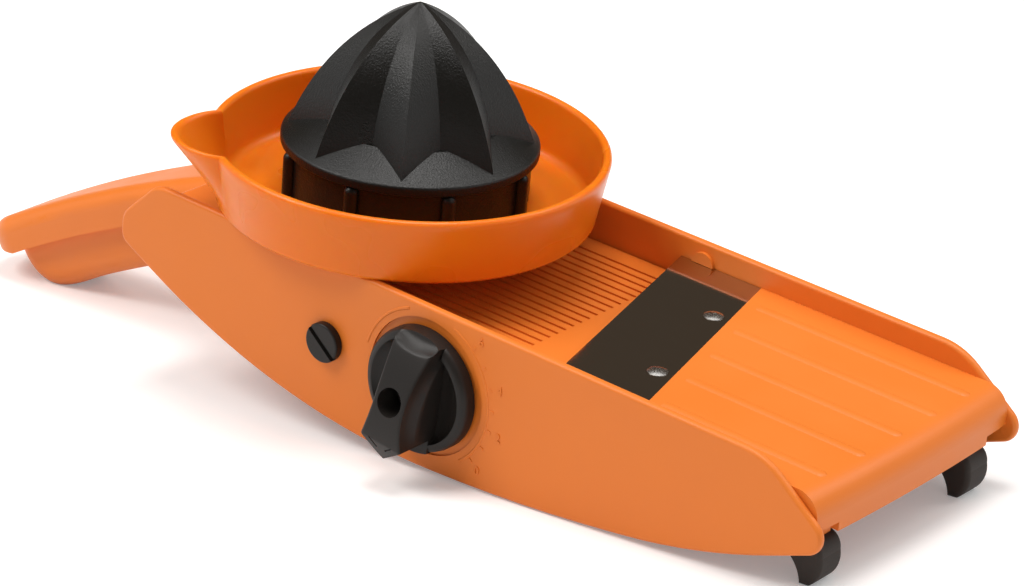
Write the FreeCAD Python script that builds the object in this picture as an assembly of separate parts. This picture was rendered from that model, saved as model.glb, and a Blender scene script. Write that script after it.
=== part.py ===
"""Mandoline slicer with a dial-set run-up plate and a citrus press on its cheeks.

The pieces are drawn level, in the frame of the decks: X runs from the handle to the
landing end, Y from the dial side to the far side, Z = 0 is the top edge of the cheeks
and X = 0 is the middle of the juicer bowl. At the end the whole slicer is tilted so
that it stands on its two feet and on the underside of its handle.
"""
import FreeCAD, Part
import math
import os

from FreeCAD import Vector

# Body: two cheeks, a landing deck and a rear deck between them
BODY_WIDTH = 107.3          # over the cheeks
WALL = 3.0                  # cheek, deck and bulkhead thickness
LIP_ROUND = 1.2             # rounding of the cheek's edges
STAND_TILT = 6.8            # degrees that the decks fall towards the landing end
FLUSH_DEPTH = 7.5           # landing deck and blade, below the cheek tops
CHEEK_CORNERS = (           # side view: X, Z and rounding of each corner
    (-62.1, 0.0, 10.0), (185.1, 0.0, 24.0), (214.3, -21.5, 6.0), (166.0, -42.3, 235.0),
    (98.2, -53.85, 620.0), (-3.9, -59.5, 255.0), (-77.3, -24.4, 5.0), (-77.3, -15.2, 8.0))

# Landing deck
DECK_END = 206.0            # face of the apron, on the centre line
DECK_ROLL = 8.0             # radius where the deck rolls over into the apron
APRON_DEPTH = 22.3          # lower edge of the apron, below the cheek tops
APRON_NOTCH = 3.0           # step in that edge over each foot
BOW_RADIUS = 900.0          # plan radius of the bowed apron
RIB_COUNT = 5
RIB_PITCH = 19.0
RIB_RADIUS = 4.0
RIB_RISE = 0.5              # height of a rib above the deck
RIB_INSET = 5.5             # rib end, short of the apron face
RIB_START = 5.0             # rib start, behind the blade
BED_DEPTH = 8.0             # blade bed, below the blade
BED_SETBACK = 14.0          # blade bed behind the cutting edge

# Blade
BLADE_EDGE_X = 90.1         # cutting edge on the centre line
BLADE_LENGTH_X = 32.5       # from cutting edge to back, along X
BLADE_THICKNESS = 1.0
BLADE_BEVEL = 6.0
BLADE_EDGE_LAND = 0.15      # thickness left at the cutting edge
BLADE_SKEW = 15.0           # degrees off square
BLADE_GAP = 0.25            # blade end to cheek
SCREW_SPACING = 44.4
SCREW_INSET = 5.6           # screw line ahead of the blade's back edge
SCREW_RADIUS = 1.75
SCREW_HEAD_RADIUS = 3.4
SCREW_HEAD_DEPTH = 1.6
SCREW_PLAY = 0.15
DRIVE_WIDTH = 0.9           # arms of the cross recess in a screw head
DRIVE_LENGTH = 3.6
DRIVE_DEPTH = 0.8
NUT_FLATS = 6.0
NUT_HEIGHT = 2.6
NUT_LUG = 1.0               # screw end past its nut

# Run-up plate and the eccentrics that carry it
PLATE_DEPTH = 14.5          # plate top below the cheek tops, as set in the picture
PLATE_THICKNESS = 3.0
PLATE_BACK = -24.0
PLATE_SETBACK = 3.0         # plate front behind the cutting edge
PLATE_SIDE_GAP = 0.6
GROOVE_COUNT = 22
GROOVE_PITCH = 4.0
GROOVE_WIDTH = 1.1
GROOVE_DEPTH = 1.0
GROOVE_END = 77.5
WEB_INSET = 9.65            # middle of the bearing webs under the plate, inside the cheek
WEB_THICKNESS = 5.0
WEB_RIM = 4.0               # material round each bearing
ECCENTRIC_THROW = 3.35      # half of the plate's lift
ECCENTRIC_RADIUS = 8.5
ECCENTRIC_THICKNESS = 6.0
BEARING_PLAY = 0.06
OPEN_BEARING_PLAY = 0.30
SHAFT_DEPTH = 27.3          # both shafts, below the cheek tops
DIAL_X = 57.6
IDLER_X = 15.9
SHAFT_RADIUS = 4.0
SHAFT_PLAY = 0.05
BUSH_RADIUS = 6.0
BUSH_FLANGE_RADIUS = 8.0
BUSH_FLANGE = 1.5
BUSH_PROUD = 0.4            # bush end, inside the outer face of the cheek
CLIP_RADIUS = 7.0
CLIP_THICKNESS = 1.2
SHAFT_PROUD = 2.6           # shaft end past the far cheek
CLIP_PLAY = 0.3
HEAD_RADIUS = 6.7           # slotted head of the idler shaft
HEAD_THICKNESS = 2.6
HEAD_PLAY = 0.3
HEAD_ROUND = 0.7
SLOT_WIDTH = 1.7
SLOT_DEPTH = 1.3
SLOT_ANGLE = -38.0          # degrees, seen from the dial side

# Thickness dial
DIAL_RADIUS = 20.6
DIAL_FLANGE = 6.0
DIAL_GAP = 0.4              # flange to cheek
DIAL_ROUND = 1.0
DIAL_TURN = 5.0             # degrees, grip bar off upright as set in the picture
GRIP_HEIGHT = 12.5          # bar above the flange, at the pointer end
GRIP_FALL = 2.6             # how much lower the bar is at its upper shoulder
GRIP_SHOULDER = 11.0        # that shoulder, above the axis
GRIP_TOE = 0.6              # bar above the flange at its upper end
GRIP_REACH = 20.2           # bar ends from the axis
GRIP_END = 8.9              # half widths of the bar at its foot
GRIP_WAIST = 7.4
GRIP_DRAFT = 1.3            # how much narrower it is on top
SCOOP_DEPTH = 4.4           # dished sides of the flange, at the foot of the bar
SCOOP_RIM = 0.8             # and at the rim
ACCESS_RADIUS = 4.6         # screwdriver hole on the dial's axis
SOCKET_DEPTH = 4.0          # shaft end inside the dial
DIAL_SEAT_WEB = 2.5         # floor between the shaft's end and the screw's head
DIAL_SCREW_RADIUS = 2.0
DIAL_SCREW_HEAD = 3.6
DIAL_SCREW_HEAD_HEIGHT = 2.4
DIAL_SCREW_LENGTH = 14.0
RECESS_RADIUS = 23.0        # shallow dished ring round the dial
RECESS_DEPTH = 0.8
RING_OUTER = 15.0           # friction ring behind the dial
RING_INNER = 9.0
RING_GAP = 0.1

# Round stop above the far end of the blade
STOP_X = 85.5
STOP_RADIUS = 4.3
STOP_PROUD = 1.2
STOP_CLEAR = 0.1            # above the blade

# Rear deck and handle
CREST_DEPTH = 9.5           # top of the rear deck at the handle
CREST_X = -66.0
REAR_DECK_GAP = 0.6         # rear deck to run-up plate
REAR_DECK_FALL = 5.6        # drop from the crest to the plate
BULKHEAD_DEPTH = 27.0
HANDLE_LENGTH = 129.0       # along its ridge, from the crest
HANDLE_ROOT = 14.0          # how far the blank reaches in under the crest
HANDLE_DROP = 14.3          # ridge of the handle, below the crest
HANDLE_FALL = 21.0          # degrees that the ridge falls at its root
HANDLE_BEND = 600.0         # radius of the ridge in side view
CAP_HALF_WIDTH = 17.0
CAP_HEIGHT = 13.3
CAP_SHOULDER = 6.0          # rounding of the cap's top edge
CAP_NOSE = 16.0             # length over which the tip's underside rises
CAP_NOSE_RISE = 7.0
KEEL_HALF_WIDTH = 12.5
KEEL_DEPTH = 17.4
KEEL_SHORT = 13.0           # keel end, short of the cap's tip
KEEL_TIP = 16.0             # length of the keel's rounded end
KEEL_ROUND = 7.0            # rounding of the keel's lower edges
KEEL_BELLY = (              # run and depth of the keel's lower edge before that, as shares
    (-0.11, 0.40), (0.10, 0.66), (0.31, 0.90), (0.52, 0.975), (0.73, 0.995))

# Feet
FOOT_MIDDLE = 39.5
FOOT_WIDTH = 12.0
FOOT_X = 198.7              # middle of the foot's sole, along X
FOOT_DEPTH = 41.25          # sole below the cheek tops, at FOOT_X
FOOT_SOLE = 3.4
FOOT_FRONT = 203.9          # outer face of the foot
FOOT_BACK = 186.0
FOOT_TOP = 25.2             # top of the foot below the cheek tops
FOOT_SHOULDER = 5.5         # rounding of its outer top corner
FOOT_HEEL = 6.0             # thickness of the foot behind its hook
FOOT_ROUND = 1.8
STUB_LENGTH = 9.0
STUB_WIDTH = 7.0
STUB_X = 195.8
TENON_LENGTH = 5.0          # stub inside the foot
TENON_PLAY = 0.1

# Juicer bowl
RIM_RADIUS = 66.0
BOWL_HEIGHT = 22.6
BOWL_FOOT_RADIUS = 62.5
BOWL_WALL = 2.2
RIM_BEAD = 1.5              # radius of the rounded rim
BOWL_CORNER = 3.5
RAIL_LENGTH = 60.0          # locating rails under the bowl
RAIL_WIDTH = 3.2
RAIL_DEPTH = 5.0
RAIL_GAP = 0.45
SPOUT_ANGLE = 226.0         # degrees from +X, seen from above
SPOUT_HALF_ANGLE = 17.0
SPOUT_REACH = 78.0
SPOUT_NOSE = 8.5            # radius of the spout's round nose
SPOUT_KEEL_DROP = 19.0      # foot of the spout's keel, below the rim
SPOUT_KEEL_ANGLE = 12.0
SPOUT_KEEL_ROUND = 6.0
SPOUT_EDGE_ANGLE = 1.8      # angle taken by the spout's wall at the rim
SPOUT_EASE = 0.2            # hollow, inside the bowl's inner face
SPOUT_WALL = 2.2
RING_HEIGHT = 4.0           # ring in the bowl that centres the reamer
RING_WALL = 2.0
RING_PLAY = 0.3

# Reamer
RIDGE_COUNT = 8
RIDGE_TURN = 306.9          # degrees, one ridge, seen from above
RIDGE_RADIUS = 40.5         # star points on the flange
VALLEY_SHARE = 0.73         # flute bottom as a share of the ridge
VALLEY_FADE = 0.6           # how far the flutes run out towards the tip
CONE_HEIGHT = 46.0          # above the flange
CONE_RISE = 0.66            # height share of the dome at its middle
CONE_MIDDLE = 0.60          # radius share of the dome at its middle
CONE_STEPS = 8
TIP_RADIUS = 0.8
FLANGE_RADIUS = 42.4
FLANGE_TOP = 24.2           # rim of the flange, above the cheek tops
FLANGE_THICKNESS = 3.6
FLANGE_ROUND = 1.2
SHED_RADIUS = 29.5          # top of the flange's sloping shed
SHED_RISE = 6.4
SKIRT_RADIUS = 40.0
SKIRT_WALL = 2.6
POST_COUNT = 8
POST_RADIUS = 2.4
POST_OFFSET = 40.4
POST_SHORT = 2.2            # post top under the flange
POST_TURN = 329.0
NOTCH_HEIGHT = 5.0          # juice gates at the foot of the skirt
NOTCH_WIDTH = 9.0
CAVITY_MARGIN = 5.0         # wall left over the hollow in the cone

HALF_WIDTH = BODY_WIDTH / 2
INNER = HALF_WIDTH - WALL
WEB_MIDDLE = INNER - WEB_INSET
SKEW = math.tan(math.radians(BLADE_SKEW))
BLADE_TOP = -FLUSH_DEPTH
BLADE_BOTTOM = BLADE_TOP - BLADE_THICKNESS
PLATE_TOP = -PLATE_DEPTH
PLATE_UNDER = PLATE_TOP - PLATE_THICKNESS
PLATE_HALF = INNER - PLATE_SIDE_GAP
SHAFT_Z = -SHAFT_DEPTH
BEARING_Z = SHAFT_Z - ECCENTRIC_THROW
FLANGE_UNDER = FLANGE_TOP - FLANGE_THICKNESS
FAR = 400.0                 # larger than the slicer, for cutting blocks


def box(x0, x1, y0, y1, z0, z1):
    return Part.makeBox(x1 - x0, y1 - y0, z1 - z0, Vector(x0, y0, z0))


def rod_y(x, z, radius, y0, y1):
    """Round bar across the slicer, from y0 to y1."""
    return Part.makeCylinder(radius, y1 - y0, Vector(x, y0, z), Vector(0, 1, 0))


def rod_z(x, y, radius, z0, z1):
    return Part.makeCylinder(radius, z1 - z0, Vector(x, y, z0))


def side_face(start, moves, y=0.0):
    """Face in the plane Y = y. A move is (end) for a line or (via, end) for an arc."""
    edges = []
    here = Vector(start[0], y, start[1])
    for move in moves:
        if isinstance(move[0], tuple):
            via = Vector(move[0][0], y, move[0][1])
            end = Vector(move[1][0], y, move[1][1])
            edges.append(Part.Arc(here, via, end).toShape())
        else:
            end = Vector(move[0], y, move[1])
            edges.append(Part.LineSegment(here, end).toShape())
        here = end
    first = Vector(start[0], y, start[1])
    if here.distanceToPoint(first) > 1e-6:
        edges.append(Part.LineSegment(here, first).toShape())
    return Part.Face(Part.Wire(edges))


def side_prism(start, moves, y0, y1):
    return side_face(start, moves, y0).extrude(Vector(0, y1 - y0, 0))


def skew_prism(points, half):
    """Prism whose sides run along the blade, cut square at Y = -half and Y = half."""
    moves = [(x + half * SKEW, z) for x, z in points]
    face = side_face(moves[0], moves[1:], -half)
    return face.extrude(Vector(-2 * half * SKEW, 2 * half, 0))


def polar(radius, degrees, z):
    angle = math.radians(degrees)
    return Vector(radius * math.cos(angle), radius * math.sin(angle), z)


def edges_across(shape, y):
    """Edges that lie wholly in the plane Y = y."""
    found = []
    for edge in shape.Edges:
        bounds = edge.BoundBox
        if abs(bounds.YMin - y) < 1e-4 and abs(bounds.YMax - y) < 1e-4:
            found.append(edge)
    return found


def blade_line(y):
    """X of the cutting edge at a given Y."""
    return BLADE_EDGE_X - y * SKEW


def rounded_moves(corners):
    """Start and moves of a closed outline of straight lines with rounded corners."""
    count = len(corners)
    spans = []
    for i in range(count):
        x, z, radius = corners[i]
        here = Vector(x, 0, z)
        before = Vector(corners[i - 1][0], 0, corners[i - 1][1]) - here
        after = Vector(corners[(i + 1) % count][0], 0, corners[(i + 1) % count][1]) - here
        before.normalize()
        after.normalize()
        half = before.getAngle(after) / 2
        reach = radius / math.tan(half)
        middle = before + after
        middle.normalize()
        via = here + middle * (radius / math.sin(half) - radius)
        spans.append([here + before * reach, via, here + after * reach])
    flat = [[(p.x, p.z) for p in span] for span in spans]
    moves = [(flat[0][1], flat[0][2])]
    for enter, via, leave in flat[1:]:
        moves.append(enter)
        moves.append((via, leave))
    return flat[0][0], moves


def cheek(side):
    """Side wall. side is -1 at the dial and +1 at the far side."""
    start, moves = rounded_moves(CHEEK_CORNERS)
    y_in = side * INNER
    y_out = side * HALF_WIDTH
    wall = side_prism(start, moves, min(y_in, y_out), max(y_in, y_out))
    wall = wall.makeFillet(LIP_ROUND, edges_across(wall, y_out) + edges_across(wall, y_in))
    for x in (DIAL_X, IDLER_X):
        wall = wall.cut(rod_y(x, SHAFT_Z, BUSH_RADIUS, min(y_in, y_out), max(y_in, y_out)))
    return wall


def front_cheek():
    dish = rod_y(DIAL_X, SHAFT_Z, RECESS_RADIUS, -HALF_WIDTH, -HALF_WIDTH + RECESS_DEPTH)
    return cheek(-1).cut(dish)


def rear_cheek():
    stop = rod_y(STOP_X, BLADE_TOP, STOP_RADIUS, INNER - STOP_PROUD, INNER)
    stop = stop.cut(box(-FAR, FAR, -FAR, FAR, -FAR, BLADE_TOP + STOP_CLEAR))
    return cheek(1).fuse(stop).removeSplitter()


def landing_deck():
    """Deck that the slices' food runs on to, with its apron, blade bed and foot stubs."""
    top = BLADE_TOP
    roll = DECK_END - DECK_ROLL
    mid = math.sqrt(0.5)
    outer_mid = (roll + DECK_ROLL * mid, top - DECK_ROLL + DECK_ROLL * mid)
    inside = DECK_ROLL - WALL
    inner_mid = (roll + inside * mid, top - DECK_ROLL + inside * mid)
    front = blade_line(INNER)
    section = side_face((front, top), [
        (roll, top),
        (outer_mid, (DECK_END, top - DECK_ROLL)),
        (DECK_END, -APRON_DEPTH),
        (DECK_END - WALL, -APRON_DEPTH),
        (DECK_END - WALL, top - DECK_ROLL),
        (inner_mid, (roll, top - WALL)),
        (front, top - WALL),
    ])
    turn = math.degrees(math.asin(BODY_WIDTH / BOW_RADIUS))
    pivot = Vector(DECK_END - BOW_RADIUS, 0, 0)
    section.rotate(pivot, Vector(0, 0, 1), -turn)
    deck = section.revolve(pivot, Vector(0, 0, 1), 2 * turn)

    bed_front = BLADE_EDGE_X + BED_SETBACK
    blade_back = BLADE_EDGE_X + BLADE_LENGTH_X
    deck = deck.common(skew_prism([(bed_front, FAR), (bed_front, -FAR), (FAR, -FAR), (FAR, FAR)], INNER))
    for level in range(RIB_COUNT):
        y = (level - (RIB_COUNT - 1) / 2) * RIB_PITCH
        bow = BOW_RADIUS - math.sqrt(BOW_RADIUS ** 2 - y ** 2)
        x0 = blade_back - y * SKEW + RIB_START
        x1 = DECK_END - RIB_INSET - RIB_RADIUS - bow
        z = top + RIB_RISE - RIB_RADIUS
        rib = Part.makeCylinder(RIB_RADIUS, x1 - x0, Vector(x0, y, z), Vector(1, 0, 0))
        rib = rib.fuse(Part.makeSphere(RIB_RADIUS, Vector(x1, y, z)))
        deck = deck.fuse(rib.common(box(-FAR, FAR, -FAR, FAR, top - WALL / 2, FAR)))
    bed_toe = bed_front + BED_DEPTH / 2
    bed_back = blade_back + WALL
    bed_under = BLADE_BOTTOM - BED_DEPTH
    bed = skew_prism([(bed_front, BLADE_BOTTOM), (bed_back, BLADE_BOTTOM), (bed_back, bed_under),
                      (bed_toe, bed_under)], INNER)
    seat = skew_prism([(0, BLADE_BOTTOM), (blade_back, BLADE_BOTTOM), (blade_back, FAR), (0, FAR)],
                      HALF_WIDTH)
    deck = deck.fuse(bed).cut(seat)
    for y in (-1, 1):
        y_mid = y * FOOT_MIDDLE
        step = box(DECK_END - DECK_ROLL, FAR, min(y_mid, y * FAR), max(y_mid, y * FAR), -FAR,
                   APRON_NOTCH - APRON_DEPTH)
        stub = box(STUB_X - STUB_LENGTH / 2, STUB_X + STUB_LENGTH / 2, y_mid - STUB_WIDTH / 2,
                   y_mid + STUB_WIDTH / 2, -FOOT_TOP - TENON_LENGTH, top - WALL * 0.7)
        deck = deck.cut(step).fuse(stub)
    for x, y in screw_places():
        deck = deck.cut(rod_z(x, y, SCREW_RADIUS, -FAR, FAR))
        deck = deck.cut(nut(x, y, SCREW_PLAY, BED_DEPTH))
    return deck.removeSplitter()


def screw_places():
    """Centres of the two blade screws."""
    places = []
    for y in (-SCREW_SPACING / 2, SCREW_SPACING / 2):
        places.append((blade_line(y) + BLADE_LENGTH_X - SCREW_INSET, y))
    return places


def nut(x, y, play, height):
    """Hexagon nut pressed up into the blade bed, or its pocket if play is given."""
    flats = NUT_FLATS + 2 * play
    corner = flats / math.sqrt(3)
    top = BLADE_BOTTOM - BED_DEPTH + NUT_HEIGHT
    ring = [polar(corner, 60 * i, 0) + Vector(x, y, top - height) for i in range(7)]
    return Part.Face(Part.makePolygon(ring)).extrude(Vector(0, 0, height))


def blade_nuts():
    nuts = []
    for x, y in screw_places():
        nuts.append(nut(x, y, 0.0, NUT_HEIGHT).cut(rod_z(x, y, SCREW_RADIUS, -FAR, FAR)))
    return nuts


def countersunk(x, y):
    """Cone under a blade screw's head."""
    return Part.makeCone(SCREW_RADIUS, SCREW_HEAD_RADIUS, SCREW_HEAD_DEPTH,
                         Vector(x, y, BLADE_TOP - SCREW_HEAD_DEPTH))


def blade():
    back = BLADE_EDGE_X + BLADE_LENGTH_X
    plate = skew_prism([(BLADE_EDGE_X, BLADE_TOP), (back, BLADE_TOP), (back, BLADE_BOTTOM),
                        (BLADE_EDGE_X + BLADE_BEVEL, BLADE_BOTTOM),
                        (BLADE_EDGE_X, BLADE_TOP - BLADE_EDGE_LAND)], INNER - BLADE_GAP)
    for x, y in screw_places():
        plate = plate.cut(rod_z(x, y, SCREW_RADIUS, -FAR, FAR)).cut(countersunk(x, y))
    return plate


def blade_screws():
    screws = []
    foot = BLADE_BOTTOM - BED_DEPTH - NUT_LUG
    for x, y in screw_places():
        screw = rod_z(x, y, SCREW_RADIUS, foot, BLADE_TOP - SCREW_HEAD_DEPTH)
        screw = screw.fuse(countersunk(x, y))
        for long_x, long_y in ((DRIVE_LENGTH, DRIVE_WIDTH), (DRIVE_WIDTH, DRIVE_LENGTH)):
            screw = screw.cut(box(x - long_x / 2, x + long_x / 2, y - long_y / 2, y + long_y / 2,
                                  BLADE_TOP - DRIVE_DEPTH, FAR))
        screws.append(screw.removeSplitter())
    return screws


def landing_deck_with_sinks():
    """The bed below the blade also takes the tips of the screw heads."""
    deck = landing_deck()
    for x, y in screw_places():
        deck = deck.cut(countersunk(x, y))
    return deck


def run_up_plate():
    front = BLADE_EDGE_X - PLATE_SETBACK
    plate = skew_prism([(-FAR, PLATE_TOP), (front, PLATE_TOP), (front, PLATE_UNDER), (-FAR, PLATE_UNDER)],
                       PLATE_HALF)
    plate = plate.cut(box(-2 * FAR, PLATE_BACK, -FAR, FAR, -FAR, FAR))
    for i in range(GROOVE_COUNT):
        y = (i - (GROOVE_COUNT - 1) / 2) * GROOVE_PITCH
        plate = plate.cut(box(PLATE_BACK - 1, GROOVE_END, y - GROOVE_WIDTH / 2, y + GROOVE_WIDTH / 2,
                              PLATE_TOP - GROOVE_DEPTH, FAR))
    for side in (-1, 1):
        y0 = side * WEB_MIDDLE - WEB_THICKNESS / 2
        y1 = y0 + WEB_THICKNESS
        for x, play in ((DIAL_X, BEARING_PLAY), (IDLER_X, OPEN_BEARING_PLAY)):
            rim = ECCENTRIC_RADIUS + WEB_RIM
            web = rod_y(x, BEARING_Z, rim, y0, y1)
            web = web.fuse(box(x - rim, x + rim, y0, y1, BEARING_Z, PLATE_UNDER))
            web = web.cut(rod_y(x, BEARING_Z, ECCENTRIC_RADIUS + play, y0, y1))
            plate = plate.fuse(web)
    return plate.removeSplitter()


def eccentrics(x):
    """Pair of eccentric discs on one shaft, thrown downwards."""
    discs = []
    for side in (-1, 1):
        y0 = side * WEB_MIDDLE - ECCENTRIC_THICKNESS / 2
        y1 = y0 + ECCENTRIC_THICKNESS
        disc = rod_y(x, BEARING_Z, ECCENTRIC_RADIUS, y0, y1)
        discs.append(disc.cut(rod_y(x, SHAFT_Z, SHAFT_RADIUS, y0, y1)))
    return discs


def shaft_bushes():
    """Flanged bushes, one for each shaft in each cheek."""
    bushes = []
    for x in (DIAL_X, IDLER_X):
        for side in (-1, 1):
            y_out = side * (HALF_WIDTH - BUSH_PROUD - RECESS_DEPTH)
            y_face = side * INNER
            y_in = side * (INNER - BUSH_FLANGE)
            bush = rod_y(x, SHAFT_Z, BUSH_RADIUS, min(y_out, y_face), max(y_out, y_face))
            bush = bush.fuse(rod_y(x, SHAFT_Z, BUSH_FLANGE_RADIUS, min(y_in, y_face), max(y_in, y_face)))
            bushes.append(bush.cut(rod_y(x, SHAFT_Z, SHAFT_RADIUS + SHAFT_PLAY, -FAR, FAR)).removeSplitter())
    return bushes


def lift_shaft():
    y0 = -HALF_WIDTH - DIAL_GAP - SOCKET_DEPTH
    shaft = rod_y(DIAL_X, SHAFT_Z, SHAFT_RADIUS, y0, HALF_WIDTH + SHAFT_PROUD)
    return shaft.cut(rod_y(DIAL_X, SHAFT_Z, DIAL_SCREW_RADIUS, y0, y0 + DIAL_SCREW_LENGTH))


def idler_shaft():
    """Plain cross shaft with a slotted head on the dial side."""
    face = -HALF_WIDTH - HEAD_PLAY
    shaft = rod_y(IDLER_X, SHAFT_Z, SHAFT_RADIUS, face, HALF_WIDTH + SHAFT_PROUD)
    head = rod_y(IDLER_X, SHAFT_Z, HEAD_RADIUS, face - HEAD_THICKNESS, face)
    head = head.makeFillet(HEAD_ROUND, edges_across(head, face - HEAD_THICKNESS))
    slot = box(IDLER_X - HEAD_RADIUS, IDLER_X + HEAD_RADIUS, face - HEAD_THICKNESS,
               face - HEAD_THICKNESS + SLOT_DEPTH, SHAFT_Z - SLOT_WIDTH / 2, SHAFT_Z + SLOT_WIDTH / 2)
    slot.rotate(Vector(IDLER_X, 0, SHAFT_Z), Vector(0, -1, 0), SLOT_ANGLE)
    return shaft.fuse(head.cut(slot)).removeSplitter()


def shaft_clip(x):
    """Push-on ring that keeps a shaft's far end in its cheek."""
    y0 = HALF_WIDTH + CLIP_PLAY
    ring = rod_y(x, SHAFT_Z, CLIP_RADIUS, y0, y0 + CLIP_THICKNESS)
    return ring.cut(rod_y(x, SHAFT_Z, SHAFT_RADIUS, y0, y0 + CLIP_THICKNESS))


def grip_wire(shrink, y):
    """Hourglass outline of the dial's grip bar, seen from the front."""
    end = GRIP_END - shrink
    waist = GRIP_WAIST - shrink
    reach = GRIP_REACH - shrink
    corner = math.sqrt(reach ** 2 - end ** 2)
    points = {}
    for sx in (-1, 1):
        points[sx, 0] = Vector(DIAL_X + sx * waist, y, SHAFT_Z)
        for sz in (-1, 1):
            points[sx, sz] = Vector(DIAL_X + sx * end, y, SHAFT_Z + sz * corner)
    top = Vector(DIAL_X, y, SHAFT_Z + reach)
    bottom = Vector(DIAL_X, y, SHAFT_Z - reach)
    return Part.Wire([
        Part.Arc(points[-1, 1], top, points[1, 1]).toShape(),
        Part.Arc(points[1, 1], points[1, 0], points[1, -1]).toShape(),
        Part.Arc(points[1, -1], bottom, points[-1, -1]).toShape(),
        Part.Arc(points[-1, -1], points[-1, 0], points[-1, 1]).toShape(),
    ])


def thickness_dial():
    back = -HALF_WIDTH - DIAL_GAP
    face = back - DIAL_FLANGE
    flange = rod_y(DIAL_X, SHAFT_Z, DIAL_RADIUS, face, back)
    flange = flange.makeFillet(DIAL_ROUND, edges_across(flange, face))
    for side in (-1, 1):
        dish = [(0.0, face + SCOOP_DEPTH), (side * (DIAL_RADIUS + 1), face + SCOOP_RIM),
                (side * (DIAL_RADIUS + 1), face - 1), (0.0, face - 1)]
        ring = [Vector(DIAL_X + x, y, SHAFT_Z - FAR) for x, y in dish + dish[:1]]
        flange = flange.cut(Part.Face(Part.makePolygon(ring)).extrude(Vector(0, 0, 2 * FAR)))
    front = face - GRIP_HEIGHT
    bar = Part.makeLoft([grip_wire(0.0, face + SCOOP_DEPTH), grip_wire(GRIP_DRAFT, front)], True, True)
    dial = flange.fuse(bar.cut(grip_fall(face)))
    seat = back - SOCKET_DEPTH
    dial = dial.cut(rod_y(DIAL_X, SHAFT_Z, SHAFT_RADIUS, seat, back))
    dial = dial.cut(rod_y(DIAL_X, SHAFT_Z, DIAL_SCREW_RADIUS, -FAR, back))
    dial = dial.cut(rod_y(DIAL_X, SHAFT_Z, ACCESS_RADIUS, -FAR, seat - DIAL_SEAT_WEB))
    dial = dial.removeSplitter()
    dial.rotate(Vector(DIAL_X, 0, SHAFT_Z), Vector(0, 1, 0), DIAL_TURN)
    return dial


def grip_fall(face):
    """Block that takes the grip bar down towards its upper end, gently and then steeply."""
    front = face - GRIP_HEIGHT
    line = [(front, -GRIP_REACH), (front + GRIP_FALL, GRIP_SHOULDER), (face - GRIP_TOE, GRIP_REACH),
            (face - GRIP_TOE, FAR), (front - FAR, FAR), (front - FAR, -GRIP_REACH)]
    ring = [Vector(DIAL_X - FAR, y, SHAFT_Z + z) for y, z in line + line[:1]]
    return Part.Face(Part.makePolygon(ring)).extrude(Vector(2 * FAR, 0, 0))


def dial_screw():
    shaft_end = -HALF_WIDTH - DIAL_GAP - SOCKET_DEPTH
    seat = shaft_end - DIAL_SEAT_WEB
    end = shaft_end + DIAL_SCREW_LENGTH
    screw = rod_y(DIAL_X, SHAFT_Z, DIAL_SCREW_RADIUS, seat, end)
    head = rod_y(DIAL_X, SHAFT_Z, DIAL_SCREW_HEAD, seat - DIAL_SCREW_HEAD_HEIGHT, seat)
    slot = box(DIAL_X - DIAL_SCREW_HEAD, DIAL_X + DIAL_SCREW_HEAD, seat - FAR,
               seat - DIAL_SCREW_HEAD_HEIGHT / 2, SHAFT_Z - DRIVE_WIDTH / 2, SHAFT_Z + DRIVE_WIDTH / 2)
    return screw.fuse(head.cut(slot)).removeSplitter()


def friction_ring():
    """Soft ring between dial and cheek that holds the setting."""
    y0 = -HALF_WIDTH - DIAL_GAP
    y1 = -HALF_WIDTH + RECESS_DEPTH - RING_GAP
    ring = rod_y(DIAL_X, SHAFT_Z, RING_OUTER, y0, y1)
    return ring.cut(rod_y(DIAL_X, SHAFT_Z, RING_INNER, y0, y1))


def rear_deck():
    """Fixed deck behind the run-up plate, with the bulkhead that carries the handle."""
    front = PLATE_BACK - REAR_DECK_GAP
    crest = -CREST_DEPTH
    low = crest - REAR_DECK_FALL
    wall_x = CREST_X - WALL
    return side_prism((wall_x, -BULKHEAD_DEPTH), [
        (wall_x, crest - WALL),
        ((CREST_X - WALL * 0.7, crest - WALL * 0.3), (CREST_X, crest)),
        (front, low),
        (front, low - WALL),
        (CREST_X, crest - 2 * WALL),
        (CREST_X, -BULKHEAD_DEPTH),
    ], -INNER, INNER)


def handle_point(run, height):
    """Point of the handle's middle plane: run along its ridge, height square to it."""
    turn = math.radians(HANDLE_FALL)
    swing = turn + run / HANDLE_BEND
    radius = HANDLE_BEND + height
    x = CREST_X + HANDLE_BEND * math.sin(turn) - radius * math.sin(swing)
    z = -CREST_DEPTH - HANDLE_DROP - HANDLE_BEND * math.cos(turn) + radius * math.cos(swing)
    return x, z


def handle_height(point):
    """Height of a point square to the handle's ridge."""
    turn = math.radians(HANDLE_FALL)
    x = point.x - CREST_X - HANDLE_BEND * math.sin(turn)
    z = point.z + CREST_DEPTH + HANDLE_DROP + HANDLE_BEND * math.cos(turn)
    return math.hypot(x, z) - HANDLE_BEND


def ridge_arc(run0, run1, height):
    """Move along the handle, parallel to its ridge."""
    return handle_point((run0 + run1) / 2, height), handle_point(run1, height)


def behind_bulkhead(shape):
    """What lies outside the bulkhead that carries the handle."""
    return shape.cut(box(CREST_X - WALL, FAR, -FAR, FAR, -FAR, FAR))


def handle_plan(half, end):
    """Plan of a handle half: straight sides and a half-round tip, square to the ridge there."""
    middle = end - half
    x, z = handle_point(middle, 0.0)
    plan = box(0, FAR, -half, half, -FAR, FAR).fuse(rod_z(0, 0, half, -FAR, FAR))
    swing = HANDLE_FALL + math.degrees(middle / HANDLE_BEND)
    plan.rotate(Vector(0, 0, 0), Vector(0, 1, 0), -swing)
    plan.translate(Vector(x, 0, z))
    return plan


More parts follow.
